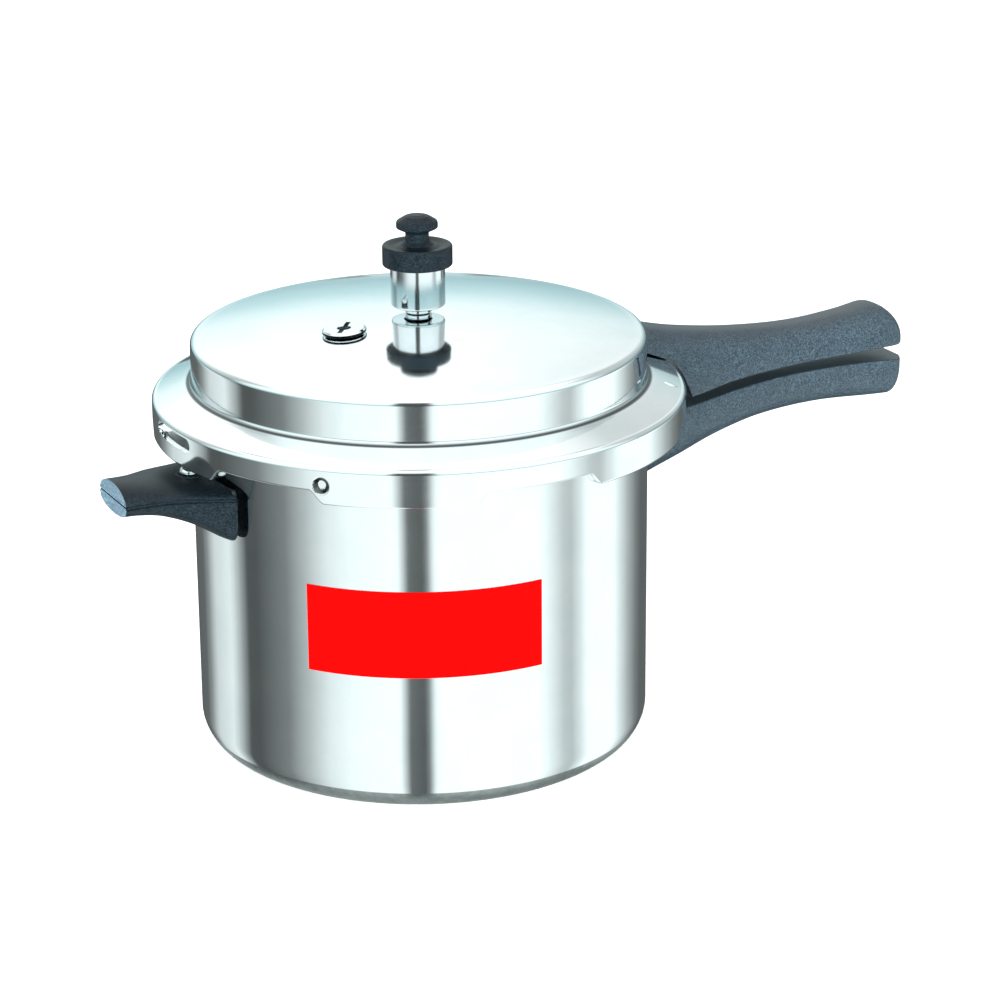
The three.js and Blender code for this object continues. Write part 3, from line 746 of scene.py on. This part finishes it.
# ---- long handles ----
# Half width, the flat face at the seam and the arch away from it, along X.
HALF_WIDTH = ((100, 21), (118, 20), (136, 18), (160, 15.2), (200, 13.6), (235, 14.8), (253, 15.6))
LID_FLAT = ((100, 146), (136, 147.2), (160, 150.6), (193, 153.1), (225, 154.3), (262, 155.9))
LID_ARCH = (
    (100, 187), (118, 181.6), (137, 177.2), (169, 172.8), (201, 171.1), (229, 172.8), (246, 175.4),
    (262, 176.6),
)
POT_FLAT = ((100, 140), (137, 143.1), (171, 147), (190, 148.5), (231, 149.1), (262, 147.8))
POT_ARCH = (
    (100, 104), (118, 110.6), (132, 115.2), (151, 121.8), (178, 128), (211, 130.2), (244, 128.6),
    (262, 127.9),
)


def grip_section(x, half, flat, arch):
    """A D section: flat at the seam between the handles, arched away from it."""
    side = lerp(flat, arch, 0.2)
    bevel = min(0.9, half / 4)
    sign = math.copysign(1, arch - flat)
    ring = [(x, -half + bevel * (1 - math.sin(t)), flat + sign * bevel * (1 - math.cos(t)))
            for t in spread(0, math.pi / 2, 5)]
    for t in spread(math.pi, 0, 49):
        y = half * power(math.cos(t), 2 / 2.7)
        ring.append((x, y, lerp(side, arch, power(math.sin(t), 2 / 2.7))))
    ring += [(x, half - bevel * (1 - math.cos(t)), flat + sign * bevel * (1 - math.sin(t)))
             for t in spread(0, math.pi / 2, 5)]
    ring += [(x, y, flat) for y in spread(half - bevel - 0.5, -half + bevel + 0.5, 7)]
    return ring


def grip(name, flat_line, arch_line, round_length):
    corner_length = 9.0
    straight = GRIP_END - round_length
    stations = spread(100, straight, 60)
    stations += [straight + round_length * math.sin(math.radians(a)) for a in spread(5, 86.5, 16)]
    rings = []
    for x in stations:
        corner = max(0.0, (x - GRIP_END + corner_length) / corner_length)
        end = max(0.0, (x - straight) / round_length)
        half = along(HALF_WIDTH, x) * (1 - 0.45 * corner**3)
        flat = along(flat_line, x)
        arch = lerp(flat, along(arch_line, x), math.sqrt(1 - end**2))
        rings.append(grip_section(x, half, flat, arch))
    return skin(name, rings)


def strap_bar(name, strap, play=0.0):
    """A bracket's strap or, with some play, the cutter for the slot that it slides into."""
    line, thick, width = strap
    half = thick / 2 + play
    outline = [(x, z + half) for x, z in line] + [(x, z - half) for x, z in reversed(line)]
    edge = width / 2 + play
    return prism(name, outline, (-edge, edge))


def screw_room(x, z_low, z_seat, z_top, shank, head=4.3):
    outline = [(0, z_low), (head, z_low), (head, z_seat), (shank, z_seat), (shank, z_top), (0, z_top)]
    return shifted(turned("screw_tool", outline, FINE), move(x, 0, 0))


def wall_room(r, bottom, top):
    return rod("wall_tool", r, bottom, top, ROUND)


STRAP_PLAY = 0.48
# Each strap's (x, z) line, thickness and width.
POT_STRAP = (((106.5, 131), (128, 132), (154, 135)), 8, 12)
LID_STRAP = (((105.8, 178.4), (117, 175.5), (130, 165), (152, 162)), 3.2, 14)
HELPER_STRAP = (((106.5, 136.4), (122, 136.4)), 3.2, 16)


def lid_grip():
    flange_room = rounded([
        (0, 130, 0),
        (136, 130, 0),
        (136, 148.4, 1.5),
        (134.6, 151, 6),
        (131, 159, 9),
        (126.5, 165.4, 5),
        (121.5, flange_z(121.5) + 0.6, 1.2),
        (107.3, flange_z(106) + 0.6, 0.6),
        (107.3, 178, 0),
        (0, 178, 0),
    ])
    tools = (
        turned("flange_tool", flange_room, ROUND),
        wall_room(DRUM_R + 3.1, 170, 240),
        strap_bar("strap_tool", LID_STRAP, STRAP_PLAY),
        screw_room(LID_SCREW_X, 120, 154.5, 169, 2.3),
        *rivet_pockets(DRUM_R, LID_RIVET_Z),
    )
    return cut(grip("lid_grip", LID_FLAT, LID_ARCH, 17.0), *tools)


def pot_grip():
    tools = (
        wall_room(POT_R + 3.1, 80, 200),
        strap_bar("strap_tool", POT_STRAP, STRAP_PLAY),
        screw_room(POT_SCREW_X, 90, 122.3, 142, 2.5),
        *rivet_pockets(POT_R, POT_RIVET_Z),
    )
    return cut(grip("pot_grip", POT_FLAT, POT_ARCH, 7.0), *tools)


dress(lid_grip(), "bakelite", "lid", "bakelite", "lid_handle")
dress(pot_grip(), "bakelite", "pot", "bakelite", "pot_handle")


# ---- helper handle ----
HELPER_HALF = ((100, 31.5), (105, 30), (119, 25.4), (129, 22.4), (141, 18.6), (153, 16.4))
HELPER_CROWN = ((100, 143.4), (119, 143.8), (135, 144.6), (153, 146.2))
SEAM_HIGH = ((100, 138.8), (112, 139.6), (128, 140.6), (140, 139.6), (153, 139))
SEAM_LOW = ((100, 137), (120, 137.8), (134, 137.8), (153, 136.6))
HELPER_LOW = ((100, 115), (107.5, 118.6), (115, 122.9), (121, 126), (128, 128.7), (136, 130.8), (153, 131.8))


def helper_section(x):
    """Crowned on top, two beads along the parting line, and an arched or square underside."""
    half = along(HELPER_HALF, x)
    crown, high_seam = along(HELPER_CROWN, x), along(SEAM_HIGH, x)
    seam, floor = along(SEAM_LOW, x), along(HELPER_LOW, x)
    square = lerp(2 / 7, 2 / 2.2, min(1, max(0, (x - 110) / 35)))
    body = half - 0.7
    ring = [(x, body * math.cos(t), lerp(high_seam, crown, math.sin(t))) for t in spread(math.pi, 0, 49)]
    bead = [(body, 0.98), (half, 0.88), (half, 0.74), (body - 0.1, 0.6), (body - 0.1, 0.4),
            (half, 0.26), (half, 0.12), (body, 0.02)]
    ring += [(x, y, lerp(seam, high_seam, t)) for y, t in bead]
    for t in spread(0, math.pi, 49)[1:-1]:
        ring.append((x, body * power(math.cos(t), square), lerp(seam, floor, power(math.sin(t), square))))
    ring += [(x, -y, lerp(seam, high_seam, t)) for y, t in reversed(bead)]
    return ring


def helper_grip():
    rings = [helper_section(x) for x in spread(100, HELPER_END, 48)]
    handle = skin("helper_grip", rings)
    seat = rounded([(0, 136, 0), (6.2, 136, 0), (6.2, HELPER_SEAT, 0.8), (0, HELPER_SEAT, 0)])
    boss = shifted(turned("helper_boss", seat, FINE), move(HELPER_SCREW_X, 0, 0))
    hollow = [(90, 100), (122.5, 122), (122.5, 134.4), (90, 134.4)]
    groove_z = along(SEAM_HIGH, HELPER_END) - 0.6
    groove = [(HELPER_END - 0.7, groove_z - 0.35), (HELPER_END + 3, groove_z - 0.35),
              (HELPER_END + 3, groove_z + 0.35), (HELPER_END - 0.7, groove_z + 0.35)]
    cut(
        handle,
        wall_room(POT_R + 3.1, 80, 200),
        strap_bar("strap_tool", HELPER_STRAP, STRAP_PLAY),
        prism("hollow_tool", hollow, (-17, 17)),
        prism("groove_tool", groove, (-40, 40)),
        shifted(rod("bore_tool", 2.3, 120, 160), move(HELPER_SCREW_X, 0, 0)),
        add=(boss,),
    )
    return shifted(handle, spin(180))


helper = dress(helper_grip(), "dark_bakelite", "pot", "bakelite", "helper_handle")
# Painted light on the end face of the helper handle, picked by the way it faces.
paint(helper, "painted_end_light", lambda centre, normal: normal.x < -0.98 and centre.x < -(HELPER_END - 0.2))


# ---- brackets, rivets and screws of the handles ----
BRACKET_SHEET = 2.5


def domed_head(seat, r, rise):
    """Outline of a screw's head, from its seat up to its pole."""
    return [(r - 0.3, seat), (r, seat + 0.3), *arc(0, seat + 0.5, r, 4, 84, 10)[1:-1], (0, seat + rise)]


def helper_screw():
    seat = HELPER_SEAT + GAP
    dome = [(r, seat + (z - seat) * 0.72) for r, z in domed_head(seat, 4.4, 4.7)]
    outline = [(0, 131), (1.6, 131), (2, 131.6), (2, seat), *dome]
    screw = turned("helper_screw_fine", outline)
    drive = [(-6, seat + 2.2), (6, seat + 2.2), (6, seat + 6), (-6, seat + 6)]
    slot = prism("drive_tool", drive, (-0.6, 0.6))
    return shifted(cut(screw, slot), move(-HELPER_SCREW_X, 0, 0) @ spin(20))


def sunk_screw(name, x, foot, top, shank):
    """A pan-head screw driven up from below, with a hexagon socket."""
    outline = rounded([
        (0, foot, 0),
        (4, foot, 0.8),
        (4, foot + 2.1, 0.2),
        (shank, foot + 2.1, 0.2),
        (shank, top, 0.5),
        (0, top, 0),
    ])
    socket = rod("socket_tool", 1.7, foot - 1, foot + 1.3, 6)
    return shifted(cut(turned(name, outline), socket), move(x, 0, 0))


def rivet(name, wall_r, wall, z, side, angle):
    """A solid rivet through a wall and a bracket's plate, with a dome at each end."""
    near = math.sqrt(wall_r**2 - RIVET_Y**2) - wall - 0.63
    far = math.sqrt((wall_r + GAP + BRACKET_SHEET) ** 2 - RIVET_Y**2) + 0.78
    inner = [(0, near - 1.4), (2, near - 1.15), (3, near - 0.6), (RIVET_HEAD, near)]
    outer = [(RIVET_HEAD, far), (3, far + 0.6), (2, far + 1.15), (0, far + 1.4)]
    piece = turned(name, [*inner, (RIVET_R, near), (RIVET_R, far), *outer])
    return shifted(piece, spin(angle) @ move(0, side * RIVET_Y, z) @ spin(90, "Y"))


def bracket(name, wall_r, bottom, top, half, strap, rivet_z, screw_x):
    """A plate curved round the wall, and the strap that runs from it into the handle."""
    inner, outer = wall_r + GAP, wall_r + GAP + BRACKET_SHEET
    rings = []
    for a in spread(-half, half, 33):
        loop = rounded([(inner, bottom, 0.3), (outer, bottom, 0.8), (outer, top, 0.8), (inner, top, 0.3)], 3)
        rings.append([turn(r, z, a) for r, z in loop])
    plate = skin(name, rings)
    bar = strap_bar("strap", strap)
    holes = rivet_holes(wall_r, rivet_z)
    bore = shifted(rod("bore_tool", 2.4, 90, 200), move(screw_x, 0, 0))
    return cut(plate, *holes, bore, add=(bar,))


def fastenings():
    brackets = (
        ("pot", POT_R, 114, 139, 10.5, POT_STRAP, POT_RIVET_Z, POT_SCREW_X),
        ("lid", DRUM_R, 175.6, 184, 9.5, LID_STRAP, LID_RIVET_Z, LID_SCREW_X),
        ("helper", POT_R, 120, 140, 11.5, HELPER_STRAP, HELPER_RIVET_Z, HELPER_SCREW_X),
    )
    plates = {handle: bracket(handle + "_bracket_fine", *sizes) for handle, *sizes in brackets}
    shifted(plates["helper"], spin(180))
    dress(plates["pot"], "cast", "pot", "cast_aluminium", "pot_handle_bracket")
    dress(plates["lid"], "cast", "lid", "cast_aluminium", "lid_handle_bracket")
    dress(plates["helper"], "cast", "pot", "cast_aluminium", "helper_handle_bracket")
    dress(helper_screw(), "steel", "pot", "zinc_steel", "helper_handle_screw")
    pot_screw = sunk_screw("pot_screw_fine", POT_SCREW_X, 119.8, 139, 2.2)
    dress(pot_screw, "zinc", "pot", "zinc_steel", "pot_handle_screw")
    lid_screw = sunk_screw("lid_screw_fine", LID_SCREW_X, 152, 168, 2)
    dress(lid_screw, "zinc", "lid", "zinc_steel", "lid_handle_screw")
    rivet_rows = (
        ("pot_handle", POT_R, POT_WALL, POT_RIVET_Z, 0, "pot"),
        ("helper_handle", POT_R, POT_WALL, HELPER_RIVET_Z, 180, "pot"),
        ("lid_handle", DRUM_R, SHEET, LID_RIVET_Z, 0, "lid"),
    )
    for handle, wall_r, wall, z, angle, body in rivet_rows:
        for number, side in ((1, -1), (2, 1)):
            node = f"{handle}_rivet_{number}"
            piece = rivet(node + "_fine", wall_r, wall, z, side, angle)
            dress(piece, "cast", body, "cast_aluminium", node)


fastenings()


# ---- vent tube, weight and their small pieces ----
def vent_tube():
    seat = CROWN + GAP
    outline = rounded([
        (1.4, 191.6, 0.2),
        (4, 191.6, 0.5),
        (4, seat, 0.1),
        (6.2, seat, 0.3),
        (6.2, seat + 2, 0.4),
        (4, seat + 2.8, 0.5),
        (3.6, seat + 4, 0.4),
        (3.6, TUBE_TOP - 1, 0.3),
        (2.8, TUBE_TOP, 0.2),
        (1.4, TUBE_TOP, 0.2),
    ], 4, 0.15)
    tube = turned("vent_tube_fine", outline)
    cross = rod("cross_tool", 0.8, -9, 9)
    return cut(tube, shifted(cross, move(0, 0, seat + 1.1) @ spin(-63) @ spin(90, "Y")))


def ring(name, inner, outer, top, thick, radius=0.4):
    low_z = top - thick
    corners = [(inner, low_z), (outer, low_z), (outer, top), (inner, top)]
    return turned(name, rounded([(r, z, radius) for r, z in corners], 4, 0.1))


def hex_nut(name, bore, corners, top, thick):
    """A hexagon nut with its corners turned down at both faces."""
    columns = 120
    flats = corners / 2 * math.cos(math.pi / 6)
    rings = []
    for r_face, z in ((bore, top - thick), (flats, top - thick), (None, top - thick + 0.6),
                      (None, top - 0.6), (flats, top), (bore, top)):
        loop = []
        for i in range(columns):
            a = 360 * i / columns
            wall = flats / math.cos(math.radians((a + 30) % 60 - 30))
            loop.append(turn(min(r_face or wall, wall), z, a))
        rings.append(loop)
    return skin(name, rings, loop=True)


def weight_body():
    outline = rounded([
        (6.5, WEIGHT_LOW, 0.3),
        (12.5, WEIGHT_LOW, 1.1),
        (12.5, 225.3, 0.3),
        (9, 225.3, 0.2),
        (9, 230, 0.5),
        (5.6, 230, 0.3),
        (5.6, 224, 0.3),
        (3.2, 224, 0.1),
        (3.2, 221.5, 0.1),
        (6.5, 221.5, 0.3),
    ], 5, 0.2)
    return turned("weight_body_fine", outline, 160)


def weight_cap():
    """Collar, neck and mushroom knob, moulded in one."""
    outline = rounded([
        (0, 230.3, 0),
        (9.3, 230.3, 0.3),
        (9.3, 225.6, 0.3),
        (16, 225.6, 0.9),
        (16, 235.3, 1.9),
        (13.6, 235.1, 0.8),
        (10.6, 234.4, 1.2),
        (7.6, 235.2, 1.6),
        (5.5, 237.2, 1.4),
        (5.3, 241.0, 1.6),
        (9.5, 243.0, 0.8),
        (9.5, 245.9, 1.7),
        (5.6, 248.3, 2.6),
        (3.0, CAP_TOP, 1.5),
        (0, CAP_TOP, 0),
    ], 7, 0.2)
    return turned("weight_cap_fine", outline, 160)


def needle():
    outline = rounded([
        (0, 215.5, 0),
        (1, 216.2, 0.2),
        (1, TUBE_TOP + GAP, 0.05),
        (2.9, TUBE_TOP + GAP, 0.2),
        (2.9, 219, 0.1),
        (5.2, 219, 0.4),
        (5.2, 221.2, 0.2),
        (2.9, 221.2, 0.1),
        (2.9, 224.3, 0.1),
        (2.3, 224.3, 0.1),
        (2.3, 225.9, 0.1),
        (2.9, 225.9, 0.1),
        (2.9, 227.5, 0.4),
        (0, 227.5, 0),
    ], 3, 0.1)
    return turned("needle_fine", outline)


def vent_and_weight():
    under = CROWN - SHEET
    dress(vent_tube(), "steel", "lid", "brass", "vent_tube")
    washer = ring("vent_washer_fine", VENT_HOLE_R, 9, under - GAP, 1.6)
    dress(washer, "gasket", "lid", "rubber", "vent_tube_washer")
    nut = hex_nut("vent_nut_fine", VENT_HOLE_R, VENT_NUT, under - 2.2, 4.4)
    dress(nut, "brass", "lid", "brass", "vent_tube_nut")
    dress(weight_body(), "steel", "weight", "steel", "weight_body")
    dress(weight_cap(), "dark_bakelite", "weight", "bakelite", "weight_cap")
    dress(needle(), "steel", "valve_needle", "steel", "weight_needle")
    clip = ring("needle_clip_fine", 2.6, 4.8, 225.6, 1.1, 0.3)
    dress(clip, "zinc", "valve_needle", "zinc_steel", "weight_needle_clip")


vent_and_weight()


# ---- safety plug ----
def plug_body():
    outline = rounded([
        (3, -8.9, 0.3),
        (6, -8.9, 0.6),
        (6, 0.45, 0.1),
        (9.4, 0.45, 0.3),
        (10, 1.0, 0.3),
        (10, 1.8, 0.4),
        (9.0, PLUG_TOP, 0.5),
        (3, PLUG_TOP, 0.5),
    ], 5, 0.15)
    body = turned("plug_body_fine", outline, 120)
    slot = [(-7.4, 1.5), (7.4, 1.5), (7.4, 7), (-7.4, 7)]
    tool = prism("plug_slot", slot, (-1.1, 1.1))
    return cut(body, shifted(tool, spin(35)))


def in_plug_shadow(centre, normal):
    """Painted shadow on the head's edge, and on the walls and floor of its slot."""
    r = centre.to_2d().length
    return centre.z > 0.3 and (r > 9.7 and centre.z < 1.9 or r < 7.3 and centre.z < PLUG_TOP - 0.55)


def plug_core():
    outline = rounded([
        (0, -7.9, 0),
        (2.7, -7.9, 0.4),
        (2.7, 1.1, 0.4),
        (1.2, 0.8, 0.2),
        (0, 0.7, 0),
    ], 4, 0.1)
    return turned("plug_core_fine", outline)


def safety_plug():
    """The plug's pieces, made upright at the origin and then set in the dome."""
    body = plug_body()
    core = plug_core()
    washer = ring("plug_washer_fine", PLUG_HOLE_R, 9.5, -SHEET - 0.4, 1.6)
    nut = hex_nut("plug_nut_fine", PLUG_HOLE_R, PLUG_NUT, -SHEET - 2.4, 3.6)
    dress(body, "steel", "lid", "steel", "safety_plug_body")
    paint(body, "shadowed", in_plug_shadow)
    dress(core, "fusible", "lid", "fusible_metal", "safety_plug_core")
    dress(washer, "gasket", "lid", "rubber", "safety_plug_washer")
    dress(nut, "zinc", "lid", "zinc_steel", "safety_plug_nut")
    for piece in (body, core, washer, nut):
        shifted(piece, PLUG_FRAME)


safety_plug()


# ---- floor, reflectors, light and camera ----
VIEW_ANGLE = -27.0  # degrees about Z from the camera looking along +Y
CAMERA_SIDE = -115.5  # azimuth of the camera seen from the pot
CAMERA_PLACE = Vector((0.03665, -1.4073, 0.6085))  # in metres, before the turn by VIEW_ANGLE
CAMERA_PITCH = 70.57
CAMERA_ROLL = -0.4
CAMERA_LENS = 115.5
LIGHT_ELEVATION = 6
LIGHT_DISTANCE = 2.2
LIGHT_SIZE = (1.4, 0.5)


def floor():
    bpy.ops.mesh.primitive_plane_add(size=40, location=(0, 0, 0))
    obj = bpy.context.object
    obj.name = "studio_floor"
    white = Finish(
        "studio_white",
        Base_Color=(0.93, 0.94, 0.94),
        Roughness=0.6,
        Specular_IOR_Level=0.1,
        Emission_Color=(1, 1, 1),
        Emission_Strength=0.32,
    )
    obj.data.materials.append(white.material)
    obj.visible_glossy = False


# Brightness of the reflecting table by the wall's own angle from the camera: two broad softboxes
# with a dark gap between them where the camera stands, and dark flags at both sides.
TABLE_STOPS = (
    (-90, 0.10), (-74, 0.14), (-70, 0.30), (-65, 0.75), (-57, 0.95), (-53, 0.50), (-49.5, 0.10),
    (-46, 0.10), (-36, 0.24), (-30, 0.55), (-24, 0.95), (-18, 1.14), (-6.2, 1.24), (-4.6, 0.6),
    (-3.6, 0.17), (0.0, 0.12), (1.2, 0.26), (2.6, 1.05), (4, 1.28), (30, 1.28), (34.5, 0.92),
    (37.5, 0.66), (40, 0.60), (43, 0.9), (46, 1.24), (56, 1.24), (60, 0.85), (64, 0.50), (69, 0.24),
    (74, 0.13), (90, 0.12),
)


def table_reflector():
    """A thin table top that only mirror-like surfaces see. Its strips fan out from the wall."""
    mesh = bpy.data.meshes.new("studio_reflector")
    reach = (1.0, 60.0, 400.0, 4000.0)
    betas = [-90 + i * 0.5 for i in range(361)]
    verts, shades = [], []
    for beta in betas:
        facing = math.radians(CAMERA_SIDE + beta)
        heading = math.radians(CAMERA_SIDE + 2 * beta)
        for t in reach:
            x = POT_R * math.cos(facing) + t * math.cos(heading)
            y = POT_R * math.sin(facing) + t * math.sin(heading)
            verts.append((x * MM, y * MM, 0.0004))
            shades.append(strip_shade(beta))
    rows = len(reach)
    faces = []
    for i in range(len(betas) - 1):
        for k in range(rows - 1):
            a = i * rows + k
            faces.append((a, a + 1, a + rows + 1, a + rows))
    mesh.from_pydata(verts, [], faces)
    attribute = mesh.attributes.new("shade", "FLOAT", "POINT")
    attribute.data.foreach_set("value", shades)
    obj = placed("studio_reflector", mesh)
    material = bpy.data.materials.new("studio_reflector")
    material.use_nodes = True
    tree = material.node_tree
    tree.nodes.clear()
    shade = tree.nodes.new("ShaderNodeAttribute")
    shade.attribute_name = "shade"
    glow = tree.nodes.new("ShaderNodeEmission")
    glow.inputs["Color"].default_value = (0.93, 1.0, 1.0, 1)
    out = tree.nodes.new("ShaderNodeOutputMaterial")
    tree.links.new(shade.outputs["Fac"], glow.inputs["Strength"])
    tree.links.new(glow.outputs[0], out.inputs[0])
    obj.data.materials.append(material)
    for ray in ("camera", "diffuse", "transmission", "volume_scatter", "shadow"):
        setattr(obj, "visible_" + ray, False)


def strip_shade(beta):
    for (a, shade_a), (b, shade_b) in zip(TABLE_STOPS, TABLE_STOPS[1:]):
        if a <= beta <= b:
            return lerp(shade_a, shade_b, (beta - a) / (b - a))
    return TABLE_STOPS[-1][1]


# The studio by height above the horizon (the sine of the elevation), from below it to overhead.
SKY_STOPS = (
    (0.44, (0.80, 0.86, 0.87)), (0.50, (0.42, 0.62, 0.66)), (0.56, (0.62, 0.84, 0.87)),
    (0.62, (1.05, 1.16, 1.17)), (0.70, (1.25, 1.27, 1.27)), (1.0, (1.35, 1.36, 1.36)),
)


def around_stops():
    """The studio by azimuth from the camera: a dark gap at the camera and a flag at each side."""
    shades = (
        (-180, 1.0), (-150, 1.0), (-128, 0.62), (-108, 0.45), (-94, 0.9), (-60, 1.0), (-15, 1.0),
        (-11, 0.09), (4, 0.09), (8, 1.0), (60, 1.0), (92, 0.9), (108, 0.5), (145, 0.5),
        (160, 0.64), (170, 0.82), (178, 0.98), (180, 1.0),
    )
    return [(degrees / 360 + 0.5, (shade * 0.97, shade, shade)) for degrees, shade in shades]


def world():
    """Pale studio walls that dim to a cool grey at the horizon, with flags round the object."""
    studio = bpy.data.worlds.new("studio")
    bpy.context.scene.world = studio
    studio.use_nodes = True
    n = Nodes(studio.node_tree, "Generated")

    def towards(azimuth):
        dot = n.node("ShaderNodeVectorMath", operation="DOT_PRODUCT")
        dot.inputs[1].default_value = Vector(turn(1, 0, azimuth))
        n.link(n.place, dot.inputs[0])
        return dot.outputs["Value"]

    height = n.axis("Z")
    around = n.maths("ARCTAN2", towards(CAMERA_SIDE + 90), towards(CAMERA_SIDE))
    sky = n.ramp(n.maths("MULTIPLY_ADD", height, 0.5, 0.5), *SKY_STOPS)
    flags = n.ramp(n.maths("MULTIPLY_ADD", around, 0.5 / math.pi, 0.5), *around_stops())
    near_horizon = n.range(height, 0.66, 0.80, 1.0, 0.0)
    shade = n.blend(near_horizon, sky, flags, "MULTIPLY")
    n.link(shade, n.tree.nodes["Background"].inputs["Color"])


def softbox(name, azimuth, watts):
    """An area light aimed at the middle of the pot. Azimuth is counted from the camera."""
    a = math.radians(CAMERA_SIDE + azimuth)
    e = math.radians(LIGHT_ELEVATION)
    target = Vector((0, 0, 0.12))
    aside = Vector((math.cos(e) * math.cos(a), math.cos(e) * math.sin(a), math.sin(e)))
    spot = target + LIGHT_DISTANCE * aside
    data = bpy.data.lights.new(name, "AREA")
    data.shape = "RECTANGLE"
    data.size, data.size_y = LIGHT_SIZE
    data.energy = watts
    obj = placed(name, data)
    obj.visible_glossy = False
    obj.location = spot
    obj.rotation_euler = (target - spot).to_track_quat("-Z", "Y").to_euler()


def camera():
    data = bpy.data.cameras.new("camera")
    data.lens = CAMERA_LENS
    data.sensor_width = 36
    data.clip_end = 60
    obj = placed("camera", data)
    aim = spin(CAMERA_PITCH, "X") @ spin(CAMERA_ROLL)
    obj.matrix_world = spin(VIEW_ANGLE) @ Matrix.Translation(CAMERA_PLACE) @ aim
    bpy.context.scene.camera = obj


floor()
table_reflector()
world()
softbox("key", -25, 120)
softbox("fill", 40, 85)
camera()
bpy.context.scene.view_settings.view_transform = "Standard"
